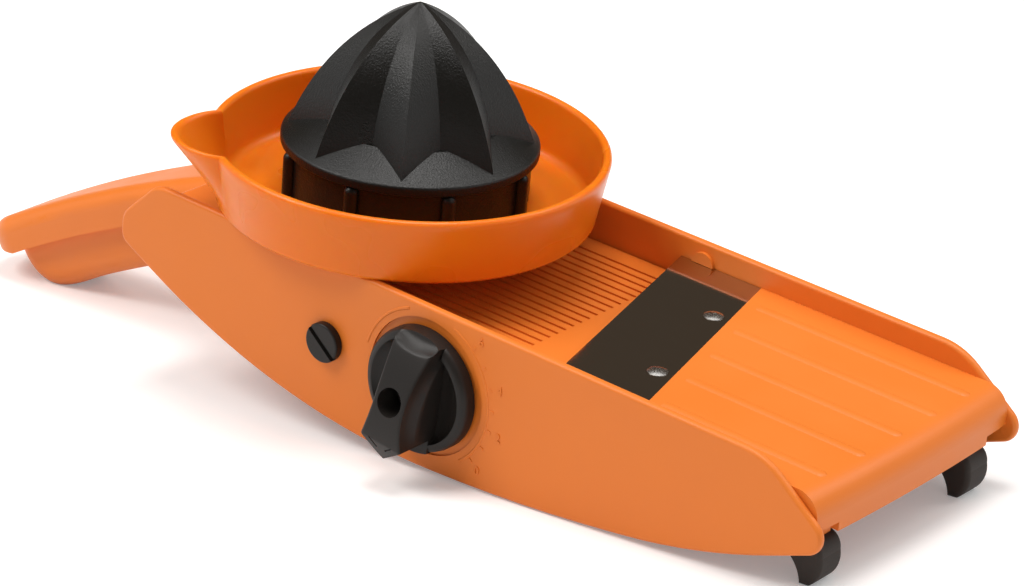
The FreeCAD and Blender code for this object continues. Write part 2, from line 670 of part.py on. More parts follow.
def handle_cap():
    """Upper half of the handle, with rounded shoulders and a round tip."""
    nose_middle = handle_point(HANDLE_LENGTH - CAP_NOSE / 2, CAP_NOSE_RISE * 0.4)
    slab = side_prism(handle_point(-HANDLE_ROOT, 0.0), [
        ridge_arc(-HANDLE_ROOT, HANDLE_LENGTH - CAP_NOSE, 0.0),
        (nose_middle, handle_point(HANDLE_LENGTH, CAP_NOSE_RISE)),
        handle_point(HANDLE_LENGTH, CAP_HEIGHT),
        ridge_arc(HANDLE_LENGTH, -HANDLE_ROOT, CAP_HEIGHT),
    ], -2 * CAP_HALF_WIDTH, 2 * CAP_HALF_WIDTH)
    cap = slab.common(handle_plan(CAP_HALF_WIDTH, HANDLE_LENGTH)).removeSplitter()
    inside = handle_point(-HANDLE_ROOT, CAP_HEIGHT)[0] - 1.0
    rim = []
    for edge in cap.Edges:
        middle = edge.valueAt((edge.FirstParameter + edge.LastParameter) / 2)
        if edge.BoundBox.XMin < inside and handle_height(middle) > CAP_HEIGHT - 1e-3:
            rim.append(edge)
    return behind_bulkhead(cap.makeFillet(CAP_SHOULDER, rim))


def handle_keel():
    """Narrower lower half of the handle, with a rounded belly that the slicer rests on."""
    end = HANDLE_LENGTH - KEEL_SHORT
    belly = []
    course = [(end * run, KEEL_DEPTH * depth) for run, depth in KEEL_BELLY]
    for degrees in (0, 25, 45, 65, 90):
        angle = math.radians(degrees)
        course.append((end - KEEL_TIP + KEEL_TIP * math.sin(angle), KEEL_DEPTH * math.cos(angle)))
    for run, depth in course:
        x, z = handle_point(run, -depth)
        belly.append(Vector(x, -KEEL_HALF_WIDTH, z))
    curve = Part.BSplineCurve()
    curve.interpolate(belly)
    via, back = ridge_arc(end, -HANDLE_ROOT, 0.0)
    back = Vector(back[0], -KEEL_HALF_WIDTH, back[1])
    edges = [
        curve.toShape(),
        Part.Arc(belly[-1], Vector(via[0], -KEEL_HALF_WIDTH, via[1]), back).toShape(),
        Part.LineSegment(back, belly[0]).toShape(),
    ]
    keel = Part.Face(Part.Wire(edges)).extrude(Vector(0, 2 * KEEL_HALF_WIDTH, 0))
    low = min(keel.Faces, key=lambda face: face.CenterOfMass.z)
    rim = [edge for edge in low.Edges if edge.BoundBox.YLength < 1e-4]
    return behind_bulkhead(keel.makeFillet(KEEL_ROUND, rim))


def foot():
    """Rubber foot on the dial side, with a hook on its inner side for the rim of a dish."""
    slope = math.tan(math.radians(STAND_TILT))
    heel = FOOT_X - FOOT_SOLE / 2
    toe = FOOT_X + FOOT_SOLE / 2
    sole_heel = (heel, -FOOT_DEPTH - slope * FOOT_SOLE / 2)
    sole_toe = (toe, -FOOT_DEPTH + slope * FOOT_SOLE / 2)
    mid = FOOT_SHOULDER * (1 - math.sqrt(0.5))
    hook = (FOOT_BACK + (heel - FOOT_BACK) * 0.68, -FOOT_TOP - FOOT_HEEL - (FOOT_DEPTH - FOOT_TOP) * 0.2)
    y_mid = -FOOT_MIDDLE
    y0 = y_mid - FOOT_WIDTH / 2
    block = side_prism((FOOT_BACK, -FOOT_TOP), [
        (FOOT_FRONT - FOOT_SHOULDER, -FOOT_TOP),
        ((FOOT_FRONT - mid, -FOOT_TOP - mid), (FOOT_FRONT, -FOOT_TOP - FOOT_SHOULDER)),
        ((FOOT_FRONT - mid / 2, -FOOT_DEPTH + FOOT_SOLE), sole_toe),
        sole_heel,
        (hook, (FOOT_BACK, -FOOT_TOP - FOOT_HEEL)),
    ], y0, y0 + FOOT_WIDTH)
    block = block.makeFillet(FOOT_ROUND, edges_across(block, y0) + edges_across(block, y0 + FOOT_WIDTH))
    half_x = STUB_LENGTH / 2 + TENON_PLAY
    half_y = STUB_WIDTH / 2 + TENON_PLAY
    pocket = box(STUB_X - half_x, STUB_X + half_x, y_mid - half_y, y_mid + half_y,
                 -FOOT_TOP - TENON_LENGTH, FAR)
    return block.cut(pocket)


def spout_wire(join_radius, join_angle, nose_radius, reach, root, z):
    """Level section of the spout: straight flanks that meet in a round nose."""
    centre = reach - nose_radius
    along = join_radius * math.cos(math.radians(join_angle))
    across = join_radius * math.sin(math.radians(join_angle))
    offset = math.hypot(along - centre, across)
    touch = math.atan2(across, along - centre) - math.acos(nose_radius / offset)
    flank = [(root * along / join_radius, root * across / join_radius), (along, across),
             (centre + nose_radius * math.cos(touch), nose_radius * math.sin(touch))]
    out = polar(1.0, SPOUT_ANGLE, 0.0)
    side = polar(1.0, SPOUT_ANGLE + 90.0, 0.0)
    near = [out * u - side * v + Vector(0, 0, z) for u, v in flank]
    far = [out * u + side * v + Vector(0, 0, z) for u, v in flank]
    nose = out * reach + Vector(0, 0, z)
    return Part.Wire([
        Part.LineSegment(near[0], near[1]).toShape(),
        Part.LineSegment(near[1], near[2]).toShape(),
        Part.Arc(near[2], nose, far[2]).toShape(),
        Part.LineSegment(far[2], far[1]).toShape(),
        Part.LineSegment(far[1], far[0]).toShape(),
        Part.LineSegment(far[0], near[0]).toShape(),
    ])


def spout():
    """Pouring lip on the bowl's rim, narrowing down the wall to a keel."""
    keel_z = BOWL_HEIGHT - SPOUT_KEEL_DROP
    inside = RIM_RADIUS - 2 * BOWL_WALL
    foot = BOWL_FOOT_RADIUS - BOWL_WALL
    return Part.makeLoft([
        spout_wire(foot, SPOUT_KEEL_ANGLE, SPOUT_KEEL_ROUND, BOWL_FOOT_RADIUS, foot - BOWL_WALL, keel_z),
        spout_wire(RIM_RADIUS, SPOUT_HALF_ANGLE, SPOUT_NOSE, SPOUT_REACH, inside, BOWL_HEIGHT),
    ], True, True)


def spout_hollow():
    """Space inside the pouring lip, open to the bowl and upwards."""
    keel_z = BOWL_HEIGHT - SPOUT_KEEL_DROP + 2 * SPOUT_WALL
    inside = RIM_RADIUS - 2 * RIM_BEAD - SPOUT_EASE
    foot = BOWL_FOOT_RADIUS - 2 * BOWL_WALL
    mouth = spout_wire(inside, SPOUT_HALF_ANGLE - SPOUT_EDGE_ANGLE, SPOUT_NOSE - SPOUT_WALL,
                       SPOUT_REACH - SPOUT_WALL, inside - 2 * BOWL_WALL, BOWL_HEIGHT)
    throat = spout_wire(foot, SPOUT_KEEL_ANGLE - SPOUT_EDGE_ANGLE, SPOUT_KEEL_ROUND / 2,
                        foot + BOWL_WALL / 2, foot - BOWL_WALL, keel_z)
    hollow = Part.makeLoft([throat, mouth], True, True)
    return hollow.fuse(Part.Face(mouth).extrude(Vector(0, 0, BOWL_HEIGHT)))


def juicer_bowl():
    """Shallow bowl with a rolled rim, a spout and rails that sit between the cheeks."""
    floor = BOWL_WALL
    bead_z = BOWL_HEIGHT - RIM_BEAD
    lean = (RIM_RADIUS - BOWL_FOOT_RADIUS) / BOWL_HEIGHT
    inside_top = RIM_RADIUS - 2 * RIM_BEAD
    inside_low = BOWL_FOOT_RADIUS - BOWL_WALL + lean * (floor + BOWL_CORNER)
    corner_mid = BOWL_CORNER * (1 - math.sqrt(0.5))
    section = side_face((0.0, 0.0), [
        (BOWL_FOOT_RADIUS - 1.0, 0.0),
        (BOWL_FOOT_RADIUS, 1.0),
        (RIM_RADIUS, bead_z),
        ((RIM_RADIUS - RIM_BEAD, BOWL_HEIGHT), (inside_top, bead_z)),
        (inside_low, floor + BOWL_CORNER),
        ((inside_low - corner_mid, floor + corner_mid), (inside_low - BOWL_CORNER, floor)),
        (0.0, floor),
    ])
    bowl = section.revolve(Vector(0, 0, 0), Vector(0, 0, 1), 360)
    bowl = bowl.fuse(spout()).cut(spout_hollow())
    ring_radius = SKIRT_RADIUS - SKIRT_WALL - RING_PLAY
    ring = rod_z(0, 0, ring_radius, floor / 2, floor + RING_HEIGHT)
    ring = ring.cut(rod_z(0, 0, ring_radius - RING_WALL, floor / 2, floor + RING_HEIGHT))
    bowl = bowl.fuse(ring)
    for side in (-1, 1):
        y_out = side * (INNER - RAIL_GAP)
        y_in = side * (INNER - RAIL_GAP - RAIL_WIDTH)
        bowl = bowl.fuse(box(-RAIL_LENGTH / 2, RAIL_LENGTH / 2, min(y_in, y_out), max(y_in, y_out),
                             -RAIL_DEPTH, floor / 2))
    return bowl.removeSplitter()


def dome_point(share):
    """Radius and height of a ridge, as shares, along an arc from flange to tip."""
    bend_r = 2 * CONE_MIDDLE - 0.5
    bend_z = 2 * CONE_RISE - 0.5
    radius = (1 - share) ** 2 + 2 * share * (1 - share) * bend_r
    height = 2 * share * (1 - share) * bend_z + share ** 2
    return radius, height


def star(radius, valley, z):
    ring = []
    for i in range(2 * RIDGE_COUNT):
        reach = radius if i % 2 == 0 else valley
        ring.append(polar(reach, RIDGE_TURN + 180.0 * i / RIDGE_COUNT, z))
    return Part.makePolygon(ring + ring[:1])


def reamer():
    """Fluted cone on a sloping round flange, hollow below."""
    wires = []
    for i in range(CONE_STEPS):
        share = i / (CONE_STEPS - 1)
        radius, height = dome_point(share)
        ridge = RIDGE_RADIUS * radius + TIP_RADIUS * share
        valley = ridge * (VALLEY_SHARE + (1 - VALLEY_SHARE) * share * VALLEY_FADE)
        wires.append(star(ridge, valley, FLANGE_TOP + CONE_HEIGHT * height))
    cone = Part.makeLoft(wires, True, False)
    flange = rod_z(0, 0, FLANGE_RADIUS, FLANGE_UNDER, FLANGE_TOP)
    flange = flange.makeFillet(FLANGE_ROUND, [e for e in flange.Edges if e.BoundBox.ZMin > FLANGE_TOP - 1e-4])
    shed = Part.makeCone(FLANGE_RADIUS - FLANGE_ROUND, SHED_RADIUS, SHED_RISE, Vector(0, 0, FLANGE_TOP))
    throat = RIDGE_RADIUS * VALLEY_SHARE - CAVITY_MARGIN
    hollow = Part.makeCone(throat, TIP_RADIUS, CONE_HEIGHT * CONE_RISE, Vector(0, 0, FLANGE_UNDER))
    return flange.fuse(shed).fuse(cone).cut(hollow).removeSplitter()


def reamer_skirt():
    """Ring with round-topped posts that carries the reamer in the bowl, with juice gates."""
    floor = BOWL_WALL
    post_top = FLANGE_UNDER - POST_SHORT
    skirt = rod_z(0, 0, SKIRT_RADIUS, floor, FLANGE_UNDER)
    for i in range(POST_COUNT):
        at = polar(POST_OFFSET, POST_TURN + 360.0 * i / POST_COUNT, 0)
        post = rod_z(at.x, at.y, POST_RADIUS, floor, post_top)
        skirt = skirt.fuse(post.fuse(Part.makeSphere(POST_RADIUS, Vector(at.x, at.y, post_top))))
    skirt = skirt.cut(rod_z(0, 0, SKIRT_RADIUS - SKIRT_WALL, floor, FLANGE_UNDER))
    for i in range(POST_COUNT):
        gate = box(0, FAR, -NOTCH_WIDTH / 2, NOTCH_WIDTH / 2, floor, floor + NOTCH_HEIGHT)
        gate.rotate(Vector(0, 0, 0), Vector(0, 0, 1), POST_TURN + 360.0 * (i + 0.5) / POST_COUNT)
        skirt = skirt.cut(gate)
    return skirt.removeSplitter()


def single(shape):
    """The one solid that a finished piece is made of."""
    solids = shape.Solids
    if len(solids) != 1:
        raise ValueError("a piece came out as %d solids" % len(solids))
    return solids[0]


def pieces():
    """Every node, as a list of its solids, in the level frame."""
    return {
        "front_cheek": [front_cheek()],
        "rear_cheek": [rear_cheek()],
        "landing_deck": [landing_deck_with_sinks()],
        "rear_deck": [rear_deck()],
        "handle_cap": [handle_cap()],
        "handle_keel": [handle_keel()],
        "blade": [blade()],
        "blade_screws": blade_screws(),
        "blade_nuts": blade_nuts(),
        "run_up_plate": [run_up_plate()],
        "thickness_dial": [thickness_dial()],
        "dial_screw": [dial_screw()],
        "friction_ring": [friction_ring()],
        "lift_shaft": [lift_shaft()],
        "lift_eccentrics": eccentrics(DIAL_X),
        "lift_clip": [shaft_clip(DIAL_X)],
        "idler_shaft": [idler_shaft()],
        "idler_eccentrics": eccentrics(IDLER_X),
        "idler_clip": [shaft_clip(IDLER_X)],
        "shaft_bushes": shaft_bushes(),
        "foot_front": [foot()],
        "foot_rear": [foot().mirror(Vector(0, 0, 0), Vector(0, 1, 0))],
        "juicer_bowl": [juicer_bowl()],
        "reamer": [reamer()],
        "reamer_skirt": [reamer_skirt()],
    }


def stand(nodes):
    """Tilt the slicer on to its feet, square its box over the origin and flatten its rest."""
    turned = {}
    for name, solids in nodes.items():
        turned[name] = []
        for solid in solids:
            piece = single(solid).copy()
            piece.rotate(Vector(0, 0, 0), Vector(0, 1, 0), STAND_TILT)
            turned[name].append(piece)
    angle = math.radians(STAND_TILT)
    ground = -FOOT_X * math.sin(angle) - FOOT_DEPTH * math.cos(angle)
    keel = turned["handle_keel"][0]
    turned["handle_keel"] = [single(keel.cut(box(-FAR, FAR, -FAR, FAR, ground - FAR, ground)))]
    bounds = FreeCAD.BoundBox()
    for solids in turned.values():
        for solid in solids:
            bounds.add(solid.optimalBoundingBox())
    shift = Vector(-bounds.Center.x, -bounds.Center.y, -ground)
    for solids in turned.values():
        for solid in solids:
            solid.translate(shift)
    return turned, shift


def main():
    os.makedirs("parts", exist_ok=True)
    nodes, shift = stand(pieces())
    for name, solids in nodes.items():
        shape = solids[0] if len(solids) == 1 else Part.makeCompound(solids)
        shape.exportStep("parts/%s.step" % name)
        print(name, len(solids), round(sum(s.Volume for s in solids)))
    print("level frame origin stands at", shift)
    for name in ("foot_front", "foot_rear", "handle_keel"):
        sole = min(nodes[name][0].Faces, key=lambda face: face.CenterOfMass.z)
        print("rests on", name, sole.CenterOfMass, round(sole.Area, 1))


main()
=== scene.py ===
"""Looks of the mandoline slicer: moulded plastics, steel, dial marks, studio and camera."""
import math

import bmesh
import bpy
from mathutils import Matrix, Quaternion, Vector


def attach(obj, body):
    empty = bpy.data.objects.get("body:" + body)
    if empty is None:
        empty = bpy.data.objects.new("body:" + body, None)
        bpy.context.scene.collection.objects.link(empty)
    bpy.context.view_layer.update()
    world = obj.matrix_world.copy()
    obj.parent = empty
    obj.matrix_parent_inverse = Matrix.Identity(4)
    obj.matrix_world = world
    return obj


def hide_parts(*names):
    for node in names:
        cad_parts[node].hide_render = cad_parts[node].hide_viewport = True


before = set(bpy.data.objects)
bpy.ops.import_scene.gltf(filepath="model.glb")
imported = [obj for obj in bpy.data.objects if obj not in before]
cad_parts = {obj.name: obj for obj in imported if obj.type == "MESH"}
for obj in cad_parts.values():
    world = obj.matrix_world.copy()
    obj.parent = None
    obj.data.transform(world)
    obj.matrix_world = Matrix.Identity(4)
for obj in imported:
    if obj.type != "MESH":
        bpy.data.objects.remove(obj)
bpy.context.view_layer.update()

MILLIMETRE = 0.001

# The slicer's level frame: decks level, cheek tops at zero, bowl axis at X = 0
STAND_TILT = math.radians(6.8)
LEVEL_ORIGIN = Vector((-0.0058781, 0.0032212, 0.0644867))
LEVEL = Matrix.Translation(LEVEL_ORIGIN) @ Matrix.Rotation(STAND_TILT, 4, "Y")
LEVEL_UP = LEVEL.to_3x3() @ Vector((0.0, 0.0, 1.0))

# Places that the dressing needs, in the level frame, in metres
CHEEK_FACE = -0.05365
DIAL_X = 0.0576
SHAFT_Z = -0.0273
DIAL_GAP = 0.0004
BLADE_MIDDLE = Vector((0.106, 0.0, -0.0075))

# The dial in millimetres: u across the grip bar, v along it, heights above the dial's back
DIAL_TURN = math.radians(5.0)
DIAL_RADIUS = 20.6
DIAL_RIM = 17.7             # inner edge of the rounded rim
DIAL_RIM_RISE = 5.2
DIAL_EDGE = 2.6
DIAL_HOLLOW = 2.4           # floor of the two hollows
HOLLOW_BOW = 2.2            # power of the rise from the hollow's floor to the rim
HOLLOW_FULL_SPAN = 4.0      # where a hollow is narrower than this, it is shallower too
HOLLOW_LEAST_SPAN = 0.01
GRIP_WAIST = 6.1            # half width of the bar's face at the axis
GRIP_NOSE_GAIN = 2.1        # how much wider it is at the nose
GRIP_LIP_GAIN = 1.3         # how much wider it is at the upper end
GRIP_NOSE = -14.0           # where the bar's nose begins
GRIP_LIP = 15.8             # where the scallop at the bar's upper end begins
GRIP_TOP = 16.7             # height of the face at the axis
GRIP_FALL = 0.26
GRIP_BOW = 0.0105
GRIP_EDGE = 0.7             # width of the face's rounded edge
GRIP_EDGE_DROP = 0.3
SCALLOP_SAG = 1.8
SCALLOP_BOW = 1.8
NOSE_FALL = 0.3
GRIP_CREASE = 8.2           # half width of the bar at its flank's lower edge
FLANK_BOW = 0.55            # below 1, the flank is steep at the face and flatter at the crease
CREASE_TOP = 10.4
CREASE_FALL = 0.29
CREASE_BOW = 0.0165
CREASE_STEP = 1.0           # least step from the face down to the crease
WALL_LEAN = 0.05
DIAL_HOLE = 4.6             # radius of the screwdriver hole
DIAL_HOLE_FLOOR = 6.5
DIAL_HOLE_LENGTH = 40.0     # of the cutter, well past the face
POINTER_MIDDLE = (3.2, 18.0, -15.2)
POINTER_LEAN = math.radians(50.0)
POINTER_GROOVE = (0.5, 2.0, 4.0)
NOSE_LEAN = math.radians(39.0)
NOSE_PAST_RIM = 0.2
NOSE_BLOCK = (40.0, 40.0, 20.0)
NOSE_BLOCK_SHIFT = 14.0

# Mesh of the dial: rows along the bar and columns across it
DIAL_ROWS = 58
DIAL_ROW_TURN = math.radians(1.5)
FACE_COLUMNS = (0.0, 0.3, 0.6, 0.85, 0.92, 0.96, 0.98, 1.0)
FLANK_COLUMNS = 8
WALL_COLUMNS = 5
HOLLOW_COLUMNS = 8
RIM_COLUMNS = 8
DIAL_MERGE = 0.02
DIAL_SLIVER = 0.005

# The raised scale round the dial, in metres and degrees
SCALE_RISE = 0.00022
SCALE_SLOPE = 0.0003
SCALE_SUNK = 0.00005
SCALE_ARC = (0.0250, 0.0261)
SCALE_ARC_LEFT = (-160.0, -104.0)
SCALE_ARC_RIGHT = (38.0, 158.0)
SCALE_TICK = (0.0262, 0.0281)
SCALE_TICK_HALF = 1.0
SCALE_TICKS = 7
SCALE_FIRST = 48.0
SCALE_SWEEP = 90.0
NUMBER_RADIUS = 0.0310
NUMBER_SIZE = 0.0042
NUMBER_LIFT = 0.0001
NUMBER_HALF_DEPTH = 0.00012
NUMBER_BEVEL = 0.00008

# The bowl, in millimetres in the level frame
AXIS_GAP = 0.01             # smallest radius of a turned shape
BOWL_MERGE = 0.03           # closes the gap at the bowl's axis
BOWL_RIM = 66.0
BOWL_FOOT = 62.5
BOWL_HEIGHT = 22.6
BOWL_WALL = 2.2
BOWL_BEAD = 1.5
BOWL_CORNER = 3.5
BOWL_CHAMFER = 1.0
BOWL_COLUMNS = 130
SPOUT_ANGLE = 226.0
SPOUT_HALF = 17.0           # degrees either side
SPOUT_GAIN = 12.6           # reach of the spout past the rim
SPOUT_KEEL = 3.6            # foot of the spout's keel
SPOUT_BOW = 0.8
SPOUT_COLUMNS = 24          # either side
RING_RADIUS = 37.1
RING_WALL = 2.0
RING_TOP = 6.2
RING_CHAMFER = 0.3
RING_STEPS = 120
RAIL_HALF_LENGTH = 30.0
RAIL_SIDE = (47.0, 50.2)
RAIL_DEPTH = 5.0

# The reamer, in millimetres in the level frame
REAMER_RIDGES = 8
REAMER_TURN = math.radians(306.9)
REAMER_RIDGE = 40.5
REAMER_VALLEY = 0.73        # flute bottom as a share of the ridge
REAMER_FADE = 0.6
REAMER_HEIGHT = 46.0
REAMER_BEND = (0.70, 0.74)  # middle of the ridge's bow, as shares of radius and height
REAMER_LEVELS = 36
REAMER_TIP = 0.5
FLUTE_COLUMNS = (0.0, 0.03, 0.25, 0.5, 0.75, 0.97)
FLANGE_RADIUS = 42.4
FLANGE_TOP = 24.2
FLANGE_UNDER = 20.6
FLANGE_ROUND = 1.2
FLANGE_ROUND_SWEEP = 62.0
FLANGE_CHAMFER = 0.4
FLANGE_STEPS = 144
SHED_RADIUS = 29.5          # upper edge of the flange's slope, at the foot of the flutes
SHED_INNER = 21.5
SHED_RISE = 6.4
THROAT_RADIUS = 24.5
REAMER_HOLLOW_TOP = 46.0

# The blade's screws, in millimetres in the level frame
SCREW_PLACES = ((122.948, -22.2), (111.052, 22.2))
SCREW_TOP = -7.5            # the blade's face
SCREW_HEAD = 3.3
SCREW_SHANK = 1.75
SCREW_LENGTH = 10.0
SCREW_CONE = 1.6
SCREW_RIM = (-0.05, 0.1)    # lower and upper edge of the head, from the blade's face
SCREW_DOME = 0.55
SCREW_DOME_STEPS = 8
SCREW_STEPS = 48
CROSS_REACH = 1.9
CROSS_WIDTH = 0.9
CROSS_DEPTH = 0.35
CROSS_CLEAR = 3.0

# Camera, in the photograph's frame of 1024 by 586
CAMERA_PLACE = Vector((0.741518, -0.833796, 0.469830))
CAMERA_AIM = Vector((-0.597465, 0.713604, -0.365793))
CAMERA_ROLL = math.radians(-0.758)
CAMERA_FOCUS = 3632.5
IMAGE_WIDTH = 1024
IMAGE_HEIGHT = 586
IMAGE_CENTRE = (516.38, 300.74)
SENSOR = 36.0

# Studio, in metres; each lamp has a place, a size, a power and a tone
FLOOR_REACH = 6.0
FLOOR_TONE = (0.86, 0.86, 0.86, 1.0)
FLOOR_GLOW = 0.22
FLOOR_GLOW_FAR = 0.9
FLOOR_LIT_REACH = 0.6
FLOOR_WHITE_REACH = 2.2
WORLD_LIGHT = 0.30
WORLD_TONE = (1.0, 0.985, 0.965, 1.0)
LAMP_AIM = Vector((0.02, 0.0, 0.05))
LAMPS = (
    ("key", (-0.70, -0.80, 1.45), 0.8, 17.8, (1.0, 0.985, 0.96)),
    ("fill", (1.35, -0.75, 0.75), 1.0, 2.4, (1.0, 0.97, 0.94)),
    ("top", (0.15, 0.10, 1.6), 0.7, 15.5, (1.0, 0.98, 0.96)),
    ("back", (0.80, 1.00, 1.20), 0.8, 7.0, (1.0, 0.98, 0.95)),
)
# Painted dark reflection: the tone that the sheets seen only in gloss glow with, then their distance, sizes
# and places
PAINTED_REFLECTION_TONE = (0.085, 0.063, 0.045, 1.0)
CARD_DISTANCE = 1.2
CARD_BEYOND = (3.4, 1.1)
CARD_BACK = 0.25
CARD_BEFORE = (2.4, 2.4)

WHITE = (1.0, 1.0, 1.0, 1.0)
BLACK = (0.0, 0.0, 0.0, 1.0)
ORANGE_BODY = (0.76, 0.195, 0.026, 1.0)
ORANGE_BODY_DEEP = (0.71, 0.174, 0.020, 1.0)
ORANGE_BOWL = (0.78, 0.182, 0.006, 1.0)
ORANGE_BOWL_DEEP = (0.73, 0.162, 0.004, 1.0)
BLACK_GRAIN = (0.007, 0.0065, 0.0055, 1.0)
BLACK_GRAIN_DEEP = (0.004, 0.0037, 0.003, 1.0)
BLACK_SMOOTH = (0.017, 0.014, 0.012, 1.0)
BLACK_SMOOTH_DEEP = (0.011, 0.009, 0.008, 1.0)
BLACK_RUBBER = (0.036, 0.028, 0.024, 1.0)
BLACK_RUBBER_DEEP = (0.026, 0.020, 0.017, 1.0)
BLADE_STEEL = (0.56, 0.54, 0.51, 1.0)
BLADE_STEEL_DEEP = (0.48, 0.46, 0.43, 1.0)
SCREW_STEEL = (0.62, 0.60, 0.57, 1.0)
SCREW_STEEL_DEEP = (0.46, 0.44, 0.42, 1.0)
NOISE_MIDDLE = (0.35, 0.65)
SKIN_DEPTH = 0.0002
GLOW_DEPTH = 0.004
GLOW_SPREAD = (1.0, 0.35, 0.10)

# Clear and deep tone, roughness from and to, grain scale, bump, specular level and glow in depth
MOULDED_FINISHES = {
    "orange_body": (ORANGE_BODY, ORANGE_BODY_DEEP, (0.38, 0.46), 3200.0, 0.05, 0.28, 0.0),
    "orange_bowl": (ORANGE_BOWL, ORANGE_BOWL_DEEP, (0.26, 0.34), 2600.0, 0.03, 0.26, 0.5),
    "black_grain": (BLACK_GRAIN, BLACK_GRAIN_DEEP, (0.27, 0.35), 1500.0, 1.0, 0.26, 0.0),
    "black_smooth": (BLACK_SMOOTH, BLACK_SMOOTH_DEEP, (0.32, 0.40), 3000.0, 0.12, 0.2, 0.0),
    "black_rubber": (BLACK_RUBBER, BLACK_RUBBER_DEEP, (0.50, 0.62), 2600.0, 0.15, 0.2, 0.0),
}

# Clear and deep tone, roughness from and to, and how closely the drawn lines lie along each axis
DRAWN_FINISHES = {
    "blade_steel": (BLADE_STEEL, BLADE_STEEL_DEEP, (0.05, 0.09), (60.0, 4000.0, 60.0)),
    "screw_steel": (SCREW_STEEL, SCREW_STEEL_DEEP, (0.20, 0.30), (2500.0, 2500.0, 300.0)),
    "shaft_steel": (SCREW_STEEL, SCREW_STEEL_DEEP, (0.25, 0.38), (2500.0, 80.0, 2500.0)),
}

FINISH_OF_NODE = {
    "orange_body": ("front_cheek", "rear_cheek", "landing_deck", "rear_deck", "handle_cap", "handle_keel",
                    "run_up_plate"),
    "orange_bowl": ("juicer_bowl",),
    "black_grain": ("reamer", "reamer_skirt"),
    "black_smooth": ("thickness_dial", "idler_shaft", "lift_eccentrics", "idler_eccentrics", "shaft_bushes"),
    "black_rubber": ("foot_front", "foot_rear", "friction_ring"),
    "blade_steel": ("blade",),
    "screw_steel": ("blade_screws", "blade_nuts", "dial_screw"),
    "shaft_steel": ("lift_shaft", "lift_clip", "idler_clip"),
}


def moulded_skin_group():
    """Fine texture of a moulded surface: a height for the bump and a slow drift in tone."""
    group = bpy.data.node_groups.new("moulded_skin", "ShaderNodeTree")
    sockets = group.interface
    scale = sockets.new_socket("Grain Scale", in_out="INPUT", socket_type="NodeSocketFloat")
    scale.default_value = 2600.0
    drift = sockets.new_socket("Drift Scale", in_out="INPUT", socket_type="NodeSocketFloat")
    drift.default_value = 28.0
    sockets.new_socket("Height", in_out="OUTPUT", socket_type="NodeSocketFloat")
    sockets.new_socket("Drift", in_out="OUTPUT", socket_type="NodeSocketFloat")
    nodes, links = group.nodes, group.links
    enter = nodes.new("NodeGroupInput")
    leave = nodes.new("NodeGroupOutput")
    place = nodes.new("ShaderNodeTexCoord")
    grain = nodes.new("ShaderNodeTexNoise")
    grain.inputs["Detail"].default_value = 3.0
    grain.inputs["Roughness"].default_value = 0.6
    slow = nodes.new("ShaderNodeTexNoise")
    slow.inputs["Detail"].default_value = 2.0
    links.new(place.outputs["Object"], grain.inputs["Vector"])
    links.new(place.outputs["Object"], slow.inputs["Vector"])
    links.new(enter.outputs["Grain Scale"], grain.inputs["Scale"])
    links.new(enter.outputs["Drift Scale"], slow.inputs["Scale"])
    links.new(grain.outputs["Fac"], leave.inputs["Height"])
    links.new(slow.outputs["Fac"], leave.inputs["Drift"])
    return group


def drawn_metal_group():
    """Fine drawn lines along one direction, for rolled and turned steel."""
    group = bpy.data.node_groups.new("drawn_metal", "ShaderNodeTree")
    sockets = group.interface
    stretch = sockets.new_socket("Stretch", in_out="INPUT", socket_type="NodeSocketVector")
    stretch.default_value = (4000.0, 60.0, 60.0)
    sockets.new_socket("Lines", in_out="OUTPUT", socket_type="NodeSocketFloat")
    nodes, links = group.nodes, group.links
    enter = nodes.new("NodeGroupInput")
    leave = nodes.new("NodeGroupOutput")
    place = nodes.new("ShaderNodeTexCoord")
    pull = nodes.new("ShaderNodeVectorMath")
    pull.operation = "MULTIPLY"
    lines = nodes.new("ShaderNodeTexNoise")
    lines.inputs["Scale"].default_value = 1.0
    lines.inputs["Detail"].default_value = 4.0
    links.new(place.outputs["Object"], pull.inputs[0])
    links.new(enter.outputs["Stretch"], pull.inputs[1])
    links.new(pull.outputs["Vector"], lines.inputs["Vector"])
    links.new(lines.outputs["Fac"], leave.inputs["Lines"])
    return group


MOULDED_SKIN = moulded_skin_group()
DRAWN_METAL = drawn_metal_group()


def spread(nodes, links, source, low, high):
    """A value that runs from low to high over the middle of a noise."""
    span = nodes.new("ShaderNodeMapRange")
    span.inputs["From Min"].default_value = NOISE_MIDDLE[0]
    span.inputs["From Max"].default_value = NOISE_MIDDLE[1]
    span.inputs["To Min"].default_value = low
    span.inputs["To Max"].default_value = high
    links.new(source, span.inputs["Value"])
    return span.outputs["Result"]


def tones(nodes, links, source, deep, clear):
    """A colour between two tones of one finish."""
    mix = nodes.new("ShaderNodeMix")
    mix.data_type = "RGBA"
    colours = [socket for socket in mix.inputs if socket.type == "RGBA"]
    colours[0].default_value = deep
    colours[1].default_value = clear
    links.new(source, mix.inputs["Factor"])
    return [socket for socket in mix.outputs if socket.type == "RGBA"][0]


